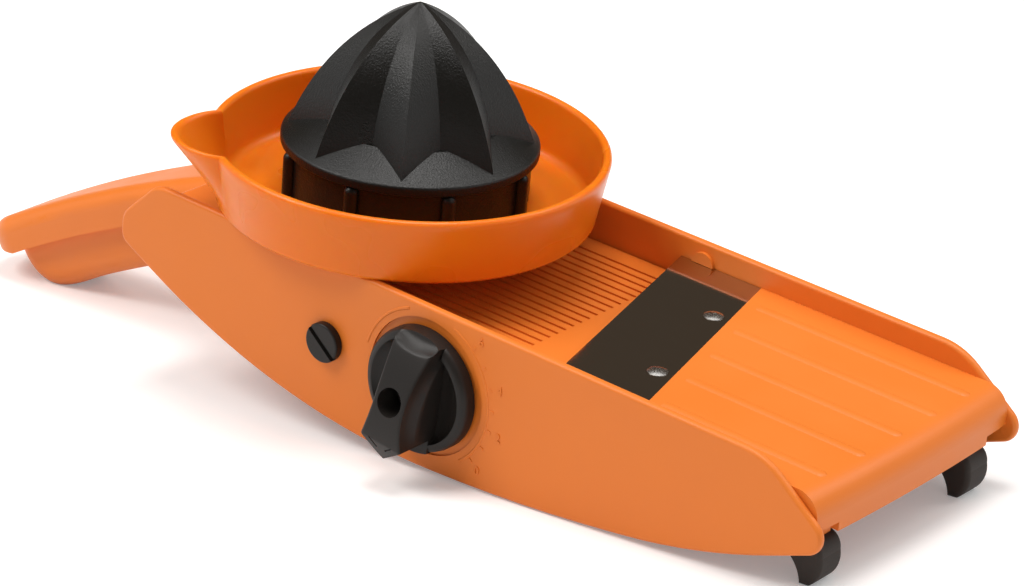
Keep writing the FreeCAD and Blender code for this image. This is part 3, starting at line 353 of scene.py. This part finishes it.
def moulded(name, clear, deep, rough, grain, bump, specular, depth):
    """Moulded plastic or rubber: tone, gloss, fine skin from the shared group, and a glow in depth."""
    material = bpy.data.materials.new(name)
    material.use_nodes = True
    nodes, links = material.node_tree.nodes, material.node_tree.links
    shader = nodes["Principled BSDF"]
    skin = nodes.new("ShaderNodeGroup")
    skin.node_tree = MOULDED_SKIN
    skin.inputs["Grain Scale"].default_value = grain
    drift = skin.outputs["Drift"]
    links.new(tones(nodes, links, drift, deep, clear), shader.inputs["Base Color"])
    links.new(spread(nodes, links, drift, rough[0], rough[1]), shader.inputs["Roughness"])
    relief = nodes.new("ShaderNodeBump")
    relief.inputs["Strength"].default_value = bump
    relief.inputs["Distance"].default_value = SKIN_DEPTH
    links.new(skin.outputs["Height"], relief.inputs["Height"])
    links.new(relief.outputs["Normal"], shader.inputs["Normal"])
    shader.inputs["Specular IOR Level"].default_value = specular
    shader.inputs["Subsurface Weight"].default_value = depth
    shader.inputs["Subsurface Radius"].default_value = GLOW_SPREAD
    shader.inputs["Subsurface Scale"].default_value = GLOW_DEPTH
    return material


def drawn(name, clear, deep, rough, stretch):
    """Steel with fine drawn lines."""
    material = bpy.data.materials.new(name)
    material.use_nodes = True
    nodes, links = material.node_tree.nodes, material.node_tree.links
    shader = nodes["Principled BSDF"]
    metal = nodes.new("ShaderNodeGroup")
    metal.node_tree = DRAWN_METAL
    metal.inputs["Stretch"].default_value = stretch
    lines = metal.outputs["Lines"]
    shader.inputs["Metallic"].default_value = 1.0
    links.new(tones(nodes, links, lines, deep, clear), shader.inputs["Base Color"])
    links.new(spread(nodes, links, lines, rough[0], rough[1]), shader.inputs["Roughness"])
    return material


FINISHES = {name: moulded(name, *values) for name, values in MOULDED_FINISHES.items()}
FINISHES.update({name: drawn(name, *values) for name, values in DRAWN_FINISHES.items()})


def dress_nodes():
    """Give every node of the frame its finish."""
    for finish, names in FINISH_OF_NODE.items():
        for name in names:
            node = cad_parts[name]
            node.data.materials.clear()
            node.data.materials.append(FINISHES[finish])


def finished_mesh(name, work):
    """Mesh of a shape under construction, which is used up."""
    mesh = bpy.data.meshes.new(name)
    work.to_mesh(mesh)
    work.free()
    return mesh


def linked(name, data):
    """Object in the scene for a mesh, a curve, a lamp or a camera."""
    holder = bpy.data.objects.new(name, data)
    bpy.context.collection.objects.link(holder)
    return holder


def carried_piece(name, mesh, finish, body):
    """A finished mesh in the slicer's frame, carried by a body."""
    mesh.materials.clear()
    mesh.materials.append(FINISHES[finish])
    piece = linked(name, mesh)
    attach(piece, body)
    return piece


def piece_for_node(name, mesh, place, crisp, finish, body, node):
    """A mesh in millimetres, set in place of a node; edges sharper than crisp degrees stay hard."""
    mesh.transform(place @ Matrix.Scale(MILLIMETRE, 4))
    mesh.shade_smooth()
    mesh.set_sharp_from_angle(angle=math.radians(crisp))
    piece = carried_piece(name, mesh, finish, body)
    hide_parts(node)


def carved(work, cutter):
    """Mesh of one shape with another cut away."""
    body = linked("carved_body", finished_mesh("carved_body", work))
    tool = linked("carved_tool", finished_mesh("carved_tool", cutter))
    cut = body.modifiers.new("cut", "BOOLEAN")
    cut.operation = "DIFFERENCE"
    cut.object = tool
    bpy.context.view_layer.update()
    seen = body.evaluated_get(bpy.context.evaluated_depsgraph_get())
    mesh = bpy.data.meshes.new_from_object(seen)
    bpy.data.objects.remove(body)
    bpy.data.objects.remove(tool)
    return mesh


def add_block(work, place, size):
    """Plain block with its middle at a place."""
    bmesh.ops.create_cube(work, size=1.0, matrix=place @ Matrix.Diagonal((*size, 1.0)))


def open_edges(work):
    """Edges with a face on one side only."""
    return [edge for edge in work.edges if edge.is_boundary]


def join_rings(work, rings):
    """Faces between each ring of corners and the next."""
    for low, high in zip(rings, rings[1:]):
        for i in range(len(low)):
            k = (i + 1) % len(low)
            work.faces.new((low[i], low[k], high[k], high[i]))


def turned(work, profile, steps, middle=(0.0, 0.0), closed=False):
    """Turn a profile of (radius, height) points, open or closed, about an upright axis."""
    rings = []
    for radius, height in profile:
        ring = []
        for i in range(steps):
            angle = 2.0 * math.pi * i / steps
            x = middle[0] + radius * math.cos(angle)
            y = middle[1] + radius * math.sin(angle)
            ring.append(work.verts.new((x, y, height)))
        rings.append(ring)
    join_rings(work, rings + rings[:1] if closed else rings)
    return rings


def along_line(start, end, steps):
    """Points of a section along a straight line, with both ends."""
    points = []
    for i in range(steps + 1):
        share = i / steps
        points.append((start[0] + (end[0] - start[0]) * share, start[1] + (end[1] - start[1]) * share))
    return points


def along_arc(middle, radius, start, end, steps):
    """Points of a section along an arc from one angle to another in degrees, with both ends."""
    points = []
    for i in range(steps + 1):
        angle = math.radians(start + (end - start) * i / steps)
        points.append((middle[0] + radius * math.cos(angle), middle[1] + radius * math.sin(angle)))
    return points


def grip_face_half(v):
    """Half width of the grip bar's face."""
    if v < 0.0:
        return GRIP_WAIST + GRIP_NOSE_GAIN * min(1.0, v / GRIP_NOSE) ** 2
    return GRIP_WAIST + GRIP_LIP_GAIN * (v / GRIP_LIP) ** 2


def grip_face_height(u, v):
    """Face of the grip bar: it falls upwards in a bow to a scallop, and falls again over the nose."""
    lip = GRIP_LIP + SCALLOP_SAG * min(1.0, abs(u) / grip_face_half(v)) ** 2
    along = min(v, lip)
    level = GRIP_TOP - GRIP_FALL * along - GRIP_BOW * along ** 2
    if v > lip:
        share = min(1.0, (v - lip) / (DIAL_RADIUS - lip))
        level = DIAL_RIM_RISE + (level - DIAL_RIM_RISE) * (1.0 - share) ** SCALLOP_BOW
    return level - NOSE_FALL * max(0.0, GRIP_NOSE - v)


def grip_crease_height(v):
    """Edge between the bar's flank and the wall of the hollow beside it."""
    level = CREASE_TOP - CREASE_FALL * v - CREASE_BOW * v ** 2
    highest = grip_face_height(grip_face_half(v), v) - CREASE_STEP
    return max(DIAL_HOLLOW, min(level, highest))


def grip_wall_foot(v):
    """Half width of the bar where its wall meets the hollow."""
    return GRIP_CREASE + WALL_LEAN * (grip_crease_height(v) - DIAL_HOLLOW)


def dial_flange_height(u, v):
    """Flange of the dial: a rounded rim round two leaf-shaped hollows."""
    radius = math.hypot(u, v)
    if radius > DIAL_RIM:
        share = min(1.0, (radius - DIAL_RIM) / (DIAL_RADIUS - DIAL_RIM))
        return DIAL_EDGE + (DIAL_RIM_RISE - DIAL_EDGE) * math.sqrt(1.0 - share ** 2)
    foot = grip_wall_foot(v)
    span = max(math.sqrt(DIAL_RIM ** 2 - v ** 2) - foot, HOLLOW_LEAST_SPAN)
    share = min(1.0, max(0.0, (abs(u) - foot) / span))
    low = DIAL_RIM_RISE - (DIAL_RIM_RISE - DIAL_HOLLOW) * min(1.0, span / HOLLOW_FULL_SPAN)
    return low + (DIAL_RIM_RISE - low) * share ** HOLLOW_BOW


def dial_height(u, v):
    """Front of the dial: the bar's face, flank and wall, then the flange."""
    face = grip_face_half(v)
    foot = grip_wall_foot(v)
    across = abs(u)
    if across <= face:
        soft = max(0.0, across - face + GRIP_EDGE) / GRIP_EDGE
        return grip_face_height(u, v) - GRIP_EDGE_DROP * soft ** 2
    crease = grip_crease_height(v)
    if across <= GRIP_CREASE:
        share = (across - face) / (GRIP_CREASE - face)
        shoulder = grip_face_height(face, v) - GRIP_EDGE_DROP
        return shoulder + (crease - shoulder) * share ** FLANK_BOW
    if across < foot:
        low = dial_flange_height(foot, v)
        share = (across - GRIP_CREASE) / (foot - GRIP_CREASE)
        return low + max(0.0, crease - low) * (1.0 - share)
    return dial_flange_height(across, v)


def dial_columns(v):
    """Places across the dial in one row: bar face, flank, wall, hollow and rim."""
    edge = math.sqrt(DIAL_RADIUS ** 2 - v ** 2)
    face = min(grip_face_half(v), edge)
    crease = min(GRIP_CREASE, edge)
    foot = min(grip_wall_foot(v), edge)
    rim = min(max(math.sqrt(max(DIAL_RIM ** 2 - v ** 2, 0.0)), foot), edge)
    half = [face * share for share in FACE_COLUMNS]
    stretches = ((face, crease, FLANK_COLUMNS), (crease, foot, WALL_COLUMNS), (foot, rim, HOLLOW_COLUMNS),
                 (rim, edge, RIM_COLUMNS))
    for start, end, steps in stretches:
        half += [start + (end - start) * i / steps for i in range(1, steps + 1)]
    return [-u for u in reversed(half[1:])] + half


def dial_shape():
    """Closed shape of the dial in its own millimetres: across, outward and along."""
    work = bmesh.new()
    rows = []
    for i in range(-DIAL_ROWS, DIAL_ROWS + 1):
        v = DIAL_RADIUS * math.sin(DIAL_ROW_TURN * i)
        rows.append([work.verts.new((u, -dial_height(u, v), v)) for u in dial_columns(v)])
    for low, high in zip(rows, rows[1:]):
        for k in range(len(low) - 1):
            work.faces.new((low[k], low[k + 1], high[k + 1], high[k]))
    side = bmesh.ops.extrude_edge_only(work, edges=open_edges(work))["geom"]
    for part in side:
        if isinstance(part, bmesh.types.BMVert):
            part.co.y = 0.0
    bmesh.ops.remove_doubles(work, verts=work.verts, dist=DIAL_MERGE)
    bmesh.ops.dissolve_degenerate(work, dist=DIAL_SLIVER, edges=work.edges)
    bmesh.ops.holes_fill(work, edges=open_edges(work))
    bmesh.ops.recalc_face_normals(work, faces=work.faces)
    return work


def dial_cutter():
    """Screwdriver hole, the slant ends of the bar's nose and the pointer's two grooves."""
    work = bmesh.new()
    hole_middle = Matrix.Translation((0.0, -DIAL_HOLE_FLOOR - DIAL_HOLE_LENGTH / 2, 0.0))
    bmesh.ops.create_cone(work, cap_ends=True, segments=48, radius1=DIAL_HOLE, radius2=DIAL_HOLE,
                          depth=DIAL_HOLE_LENGTH, matrix=hole_middle @ Matrix.Rotation(math.pi / 2, 4, "X"))
    across, outward, along = POINTER_MIDDLE
    tip = Matrix.Translation((0.0, -DIAL_RIM_RISE - NOSE_BLOCK[1] / 2, -DIAL_RADIUS - NOSE_PAST_RIM))
    for side in (-1, 1):
        groove = Matrix.Translation((side * across, -outward, along))
        add_block(work, groove @ Matrix.Rotation(side * POINTER_LEAN, 4, "Y"), POINTER_GROOVE)
        slant = tip @ Matrix.Rotation(-side * NOSE_LEAN, 4, "Y")
        below = Matrix.Translation((side * NOSE_BLOCK_SHIFT, 0.0, -NOSE_BLOCK[2] / 2))
        add_block(work, slant @ below, NOSE_BLOCK)
    return work


def soft_edged_dial():
    """The dial with its soft edges, hollows and scalloped grip."""
    axis = Matrix.Translation((DIAL_X, CHEEK_FACE - DIAL_GAP, SHAFT_Z))
    piece_for_node("dial_grip", carved(dial_shape(), dial_cutter()),
                   LEVEL @ axis @ Matrix.Rotation(DIAL_TURN, 4, "Y"), crisp=32.0,
                   finish="black_smooth", body="dial", node="thickness_dial")


def spout_gain(degrees, z):
    """How far the bowl's wall stands out at the spout, bowed in plan and straight down its keel."""
    offset = min(1.0, abs(degrees - SPOUT_ANGLE) / SPOUT_HALF)
    share = min(1.0, max(0.0, (z - SPOUT_KEEL) / (BOWL_HEIGHT - SPOUT_KEEL)))
    return SPOUT_GAIN * math.cos(offset * math.pi / 2) ** SPOUT_BOW * share


def bowl_profile():
    """Section of the bowl from the middle of its floor over the rim to the middle of its foot."""
    bead = BOWL_HEIGHT - BOWL_BEAD
    low = BOWL_WALL + BOWL_CORNER
    lean = (BOWL_RIM - BOWL_FOOT) / BOWL_HEIGHT
    inside = BOWL_FOOT - BOWL_WALL + lean * low
    points = [(AXIS_GAP, BOWL_WALL)]
    points += along_arc((inside - BOWL_CORNER, low), BOWL_CORNER, -90.0, 0.0, 6)
    points += along_line((inside, low), (BOWL_RIM - 2 * BOWL_BEAD, bead), 8)[1:]
    points += along_arc((BOWL_RIM - BOWL_BEAD, bead), BOWL_BEAD, 180.0, 0.0, 8)[1:-1]
    points += along_line((BOWL_RIM, bead), (BOWL_FOOT, BOWL_CHAMFER), 10)
    return points + [(BOWL_FOOT - BOWL_CHAMFER, 0.0), (AXIS_GAP, 0.0)]


def spouted_bowl():
    """The bowl as one thin wall that swells out smoothly into its spout, with its ring and rails."""
    work = bmesh.new()
    turns = [SPOUT_ANGLE + SPOUT_HALF * i / SPOUT_COLUMNS for i in range(-SPOUT_COLUMNS, SPOUT_COLUMNS)]
    plain = 360.0 - 2 * SPOUT_HALF
    turns += [SPOUT_ANGLE + SPOUT_HALF + plain * i / BOWL_COLUMNS for i in range(BOWL_COLUMNS)]
    columns = []
    for degrees in turns:
        angle = math.radians(degrees)
        column = []
        for radius, z in bowl_profile():
            reach = radius if radius == AXIS_GAP else radius + spout_gain(degrees, z)
            column.append(work.verts.new((reach * math.cos(angle), reach * math.sin(angle), z)))
        columns.append(column)
    for low, high in zip(columns, columns[1:] + columns[:1]):
        for k in range(len(low) - 1):
            work.faces.new((low[k], high[k], high[k + 1], low[k + 1]))
    floor = BOWL_WALL / 2
    inner = RING_RADIUS - RING_WALL
    ring = [(RING_RADIUS, floor), (RING_RADIUS, RING_TOP - RING_CHAMFER),
            (RING_RADIUS - RING_CHAMFER, RING_TOP), (inner + RING_CHAMFER, RING_TOP),
            (inner, RING_TOP - RING_CHAMFER), (inner, floor)]
    turned(work, ring, RING_STEPS, closed=True)
    rail = (2 * RAIL_HALF_LENGTH, RAIL_SIDE[1] - RAIL_SIDE[0], RAIL_DEPTH + floor)
    for side in (-1, 1):
        middle = (0.0, side * sum(RAIL_SIDE) / 2, (floor - RAIL_DEPTH) / 2)
        add_block(work, Matrix.Translation(middle), rail)
    bmesh.ops.remove_doubles(work, verts=work.verts, dist=BOWL_MERGE)
    bmesh.ops.recalc_face_normals(work, faces=work.faces)
    piece_for_node("spouted_bowl", finished_mesh("spouted_bowl", work), LEVEL, crisp=34.0,
                   finish="orange_bowl", body="bowl", node="juicer_bowl")


def reamer_section(share):
    """One level of the fluted cone, from flange to tip: points round the axis and their height."""
    ridge = (1 - share) ** 2 + 2 * share * (1 - share) * REAMER_BEND[0]
    rise = 2 * share * (1 - share) * REAMER_BEND[1] + share ** 2
    outer = REAMER_RIDGE * ridge + REAMER_TIP * share
    inner = outer * (REAMER_VALLEY + (1 - REAMER_VALLEY) * share * REAMER_FADE)
    points = []
    half_turn = math.pi / REAMER_RIDGES
    for i in range(2 * REAMER_RIDGES):
        start = REAMER_TURN + half_turn * i
        end = start + half_turn
        first, last = (outer, inner) if i % 2 == 0 else (inner, outer)
        here = Vector((first * math.cos(start), first * math.sin(start)))
        there = Vector((last * math.cos(end), last * math.sin(end)))
        points += [here.lerp(there, column) for column in FLUTE_COLUMNS]
    return points, FLANGE_TOP + REAMER_HEIGHT * rise


def flange_profile():
    """Section of the reamer's flange from the top of its hollow round the edge and up its slope."""
    round_middle = (FLANGE_RADIUS - FLANGE_ROUND, FLANGE_TOP - FLANGE_ROUND)
    shed = FLANGE_TOP + SHED_RISE
    points = [(REAMER_TIP, REAMER_HOLLOW_TOP), (THROAT_RADIUS, FLANGE_UNDER),
              (FLANGE_RADIUS - FLANGE_CHAMFER, FLANGE_UNDER), (FLANGE_RADIUS, FLANGE_UNDER + FLANGE_CHAMFER)]
    points += along_arc(round_middle, FLANGE_ROUND, 0.0, FLANGE_ROUND_SWEEP, 6)
    return points + [(SHED_RADIUS, shed), (SHED_INNER, shed)]


def fluted_reamer():
    """The reamer with crisp ridges drawn out to its tip, on a soft-edged sloping flange."""
    work = bmesh.new()
    levels = []
    for i in range(REAMER_LEVELS + 1):
        points, height = reamer_section(i / REAMER_LEVELS)
        levels.append([work.verts.new((point.x, point.y, height)) for point in points])
    join_rings(work, levels)
    work.faces.new(levels[-1])
    rings = turned(work, flange_profile(), FLANGE_STEPS)
    work.faces.new(list(reversed(rings[0])))
    bmesh.ops.bridge_loops(work, edges=open_edges(work))
    bmesh.ops.recalc_face_normals(work, faces=work.faces)
    piece_for_node("fluted_reamer", finished_mesh("fluted_reamer", work), LEVEL, crisp=20.0,
                   finish="black_grain", body="reamer", node="reamer")


def cross_recess(cutter, middle):
    """Cross-shaped block, to be cut from a screw's head."""
    long, short = CROSS_REACH, CROSS_WIDTH / 2
    low = []
    for quarter in range(4):
        turn = Matrix.Rotation(quarter * math.pi / 2, 2)
        for corner in ((short, short), (short, long), (-short, long)):
            x, y = turn @ Vector(corner)
            low.append(cutter.verts.new((middle[0] + x, middle[1] + y, SCREW_TOP - CROSS_DEPTH)))
    high = [cutter.verts.new((vert.co.x, vert.co.y, SCREW_TOP + CROSS_CLEAR)) for vert in low]
    cutter.faces.new(list(reversed(low)))
    cutter.faces.new(high)
    join_rings(cutter, [low, high])


def screw_profile():
    """Section of a screw from the end of its shank over the head's cone and dome to the axis."""
    end = SCREW_TOP - SCREW_LENGTH
    points = [(AXIS_GAP, end), (SCREW_SHANK, end), (SCREW_SHANK, SCREW_TOP - SCREW_CONE),
              (SCREW_HEAD, SCREW_TOP + SCREW_RIM[0])]
    for i in range(SCREW_DOME_STEPS + 1):
        share = i / SCREW_DOME_STEPS
        rise = SCREW_DOME * (1 - (1 - share) ** 2)
        points.append((SCREW_HEAD - (SCREW_HEAD - AXIS_GAP) * share, SCREW_TOP + SCREW_RIM[1] + rise))
    return points


def raised_screws():
    """The blade's two screws, with low domed heads and cross recesses."""
    work = bmesh.new()
    cutter = bmesh.new()
    for middle in SCREW_PLACES:
        rings = turned(work, screw_profile(), SCREW_STEPS, middle)
        work.faces.new(rings[0])
        work.faces.new(rings[-1])
        cross_recess(cutter, middle)
    bmesh.ops.recalc_face_normals(work, faces=work.faces)
    piece_for_node("raised_screws", carved(work, cutter), LEVEL, crisp=30.0,
                   finish="screw_steel", body="body", node="blade_screws")


def dial_spot(radius, degrees, y):
    """Point round the dial's axis, by its angle from straight down, towards the blade."""
    angle = math.radians(degrees)
    return DIAL_X + radius * math.sin(angle), y, SHAFT_Z - radius * math.cos(angle)


def scale_arc(name, radii, span, steps):
    """Raised arc on the cheek round the dial, with sloping sides."""
    inner, outer = radii
    start, end = span
    foot = CHEEK_FACE + SCALE_SUNK
    top = CHEEK_FACE - SCALE_RISE
    section = ((inner, foot), (inner + SCALE_SLOPE, top), (outer - SCALE_SLOPE, top), (outer, foot))
    corners = len(section)
    verts = []
    faces = []
    for i in range(steps + 1):
        degrees = start + (end - start) * i / steps
        verts += [LEVEL @ Vector(dial_spot(radius, degrees, y)) for radius, y in section]
    for i in range(steps):
        for k in range(corners):
            here = corners * i + k
            beside = corners * i + (k + 1) % corners
            faces.append((here, beside, beside + corners, here + corners))
    last = corners * steps
    faces.append(tuple(reversed(range(corners))))
    faces.append(tuple(range(last, last + corners)))
    mesh = bpy.data.meshes.new(name)
    mesh.from_pydata([tuple(vert) for vert in verts], [], faces)
    mesh.update()
    carried_piece(name, mesh, "orange_body", "body")


def scale_number(text, degrees):
    """Raised plain number on the cheek, upright, beside the dial."""
    name = "scale_number_" + text
    curve = bpy.data.curves.new(name, "FONT")
    curve.body = text
    curve.size = NUMBER_SIZE
    curve.align_x = "CENTER"
    curve.align_y = "CENTER"
    curve.extrude = NUMBER_HALF_DEPTH
    curve.bevel_depth = NUMBER_BEVEL
    pattern = linked(name, curve)
    bpy.context.view_layer.update()
    mesh = bpy.data.meshes.new_from_object(pattern)
    bpy.data.objects.remove(pattern)
    spot = Matrix.Translation(dial_spot(NUMBER_RADIUS, degrees, CHEEK_FACE - NUMBER_LIFT))
    mesh.transform(LEVEL @ spot @ Matrix.Rotation(math.pi / 2, 4, "X"))
    carried_piece(name, mesh, "orange_body", "body")


def dial_scale():
    """Settings round the dial: two arcs, short ticks and a plain number at every other tick."""
    scale_arc("scale_arc_left", SCALE_ARC, SCALE_ARC_LEFT, 36)
    scale_arc("scale_arc_right", SCALE_ARC, SCALE_ARC_RIGHT, 60)
    for index in range(SCALE_TICKS):
        degrees = SCALE_FIRST + SCALE_SWEEP * index / (SCALE_TICKS - 1)
        span = (degrees - SCALE_TICK_HALF, degrees + SCALE_TICK_HALF)
        scale_arc("scale_tick_%d" % index, SCALE_TICK, span, 2)
        if index % 2 == 0:
            scale_number(str(index), degrees)


def brightness_for_seen_rays(nodes, links):
    """1 for rays from the camera, from gloss and through glass, else 0."""
    rays = nodes.new("ShaderNodeLightPath")
    first = nodes.new("ShaderNodeMath")
    first.operation = "MAXIMUM"
    links.new(rays.outputs["Is Camera Ray"], first.inputs[0])
    links.new(rays.outputs["Is Glossy Ray"], first.inputs[1])
    second = nodes.new("ShaderNodeMath")
    second.operation = "MAXIMUM"
    links.new(first.outputs["Value"], second.inputs[0])
    links.new(rays.outputs["Is Transmission Ray"], second.inputs[1])
    return second.outputs["Value"]


def stage_sheet(name, corners, material):
    """Flat sheet of the studio, no part of the slicer."""
    mesh = bpy.data.meshes.new(name)
    mesh.from_pydata([tuple(corner) for corner in corners], [], [(0, 1, 2, 3)])
    mesh.materials.append(material)
    sheet = linked(name, mesh)
    return sheet


def pale_floor():
    """White paper that keeps the shadow, and stays white where the lamps no longer reach."""
    paper = bpy.data.materials.new("pale_paper")
    paper.use_nodes = True
    nodes, links = paper.node_tree.nodes, paper.node_tree.links
    shader = nodes["Principled BSDF"]
    shader.inputs["Base Color"].default_value = FLOOR_TONE
    shader.inputs["Roughness"].default_value = 0.9
    shader.inputs["Emission Color"].default_value = WHITE
    spot = nodes.new("ShaderNodeTexCoord")
    away = nodes.new("ShaderNodeVectorMath")
    away.operation = "LENGTH"
    links.new(spot.outputs["Object"], away.inputs[0])
    rise = nodes.new("ShaderNodeMapRange")
    rise.inputs["From Min"].default_value = FLOOR_LIT_REACH
    rise.inputs["From Max"].default_value = FLOOR_WHITE_REACH
    rise.inputs["To Min"].default_value = FLOOR_GLOW
    rise.inputs["To Max"].default_value = FLOOR_GLOW_FAR
    links.new(away.outputs["Value"], rise.inputs["Value"])
    glow = nodes.new("ShaderNodeMath")
    glow.operation = "MULTIPLY"
    links.new(rise.outputs["Result"], glow.inputs[1])
    links.new(brightness_for_seen_rays(nodes, links), glow.inputs[0])
    links.new(glow.outputs["Value"], shader.inputs["Emission Strength"])
    signs = ((-1, -1), (1, -1), (1, 1), (-1, 1))
    stage_sheet("floor", [(x * FLOOR_REACH, y * FLOOR_REACH, 0.0) for x, y in signs], paper)


def dark_card(name, middle, towards, size, painted_glow):
    """Sheet round the table which only gloss sees, glowing a dark tone: a painted dark reflection."""
    across = towards.cross(Vector((0.0, 0.0, 1.0))).normalized() * size[0] / 2
    up = across.cross(towards).normalized() * size[1] / 2
    corners = [middle - across - up, middle + across - up, middle + across + up, middle - across + up]
    card = stage_sheet(name, corners, painted_glow)
    card.visible_camera = False
    card.visible_diffuse = False
    card.visible_shadow = False
    card.visible_transmission = False


def dark_room():
    """Painted dark reflection: one glowing card behind the camera, and one beyond the slicer that the
    polished blade mirrors.
    """
    # Painted dark reflection: the cards reflect nothing and glow a dark tone, seen only in gloss
    painted_glow = bpy.data.materials.new("painted_dark_reflection")
    painted_glow.use_nodes = True
    shader = painted_glow.node_tree.nodes["Principled BSDF"]
    shader.inputs["Base Color"].default_value = BLACK
    shader.inputs["Specular IOR Level"].default_value = 0.0
    shader.inputs["Emission Color"].default_value = PAINTED_REFLECTION_TONE
    shader.inputs["Emission Strength"].default_value = 1.0
    mirrored = CAMERA_AIM.reflect(LEVEL_UP)
    beyond = LEVEL @ BLADE_MIDDLE + mirrored * CARD_DISTANCE
    dark_card("card_beyond", beyond, mirrored, CARD_BEYOND, painted_glow)
    dark_card("card_before", CAMERA_PLACE - CAMERA_AIM * CARD_BACK, CAMERA_AIM, CARD_BEFORE, painted_glow)


def studio_lamps():
    """Square lamps round the table, all turned to the slicer."""
    for name, place, size, power, tone in LAMPS:
        lamp = bpy.data.lights.new(name, "AREA")
        lamp.shape = "SQUARE"
        lamp.size = size
        lamp.energy = power
        lamp.color = tone
        holder = linked(name, lamp)
        holder.location = place
        aim = LAMP_AIM - Vector(place)
        holder.rotation_euler = aim.to_track_quat("-Z", "Y").to_euler()


def white_world():
    """Soft light from all round, white where it is seen."""
    world = bpy.data.worlds.new("studio_world")
    world.use_nodes = True
    nodes, links = world.node_tree.nodes, world.node_tree.links
    plain = nodes["Background"]
    plain.inputs["Color"].default_value = WORLD_TONE
    plain.inputs["Strength"].default_value = WORLD_LIGHT
    white = nodes.new("ShaderNodeBackground")
    white.inputs["Color"].default_value = WHITE
    white.inputs["Strength"].default_value = 1.0
    mix = nodes.new("ShaderNodeMixShader")
    links.new(brightness_for_seen_rays(nodes, links), mix.inputs["Fac"])
    links.new(plain.outputs["Background"], mix.inputs[1])
    links.new(white.outputs["Background"], mix.inputs[2])
    links.new(mix.outputs["Shader"], nodes["World Output"].inputs["Surface"])
    bpy.context.scene.world = world


def photograph_camera():
    """Camera at the place the photograph was taken from."""
    camera = bpy.data.cameras.new("camera")
    camera.sensor_width = SENSOR
    camera.lens = CAMERA_FOCUS / IMAGE_WIDTH * SENSOR
    camera.shift_x = (IMAGE_WIDTH / 2 - IMAGE_CENTRE[0]) / IMAGE_WIDTH
    camera.shift_y = (IMAGE_CENTRE[1] - IMAGE_HEIGHT / 2) / IMAGE_WIDTH
    camera.clip_start = 0.05
    holder = linked("camera", camera)
    roll = Quaternion((0.0, 0.0, 1.0), CAMERA_ROLL)
    holder.rotation_mode = "QUATERNION"
    holder.rotation_quaternion = CAMERA_AIM.to_track_quat("-Z", "Y") @ roll
    holder.location = CAMERA_PLACE
    bpy.context.scene.camera = holder


dress_nodes()
soft_edged_dial()
spouted_bowl()
fluted_reamer()
raised_screws()
dial_scale()
pale_floor()
dark_room()
studio_lamps()
white_world()
photograph_camera()
bpy.context.scene.view_settings.view_transform = "Standard"
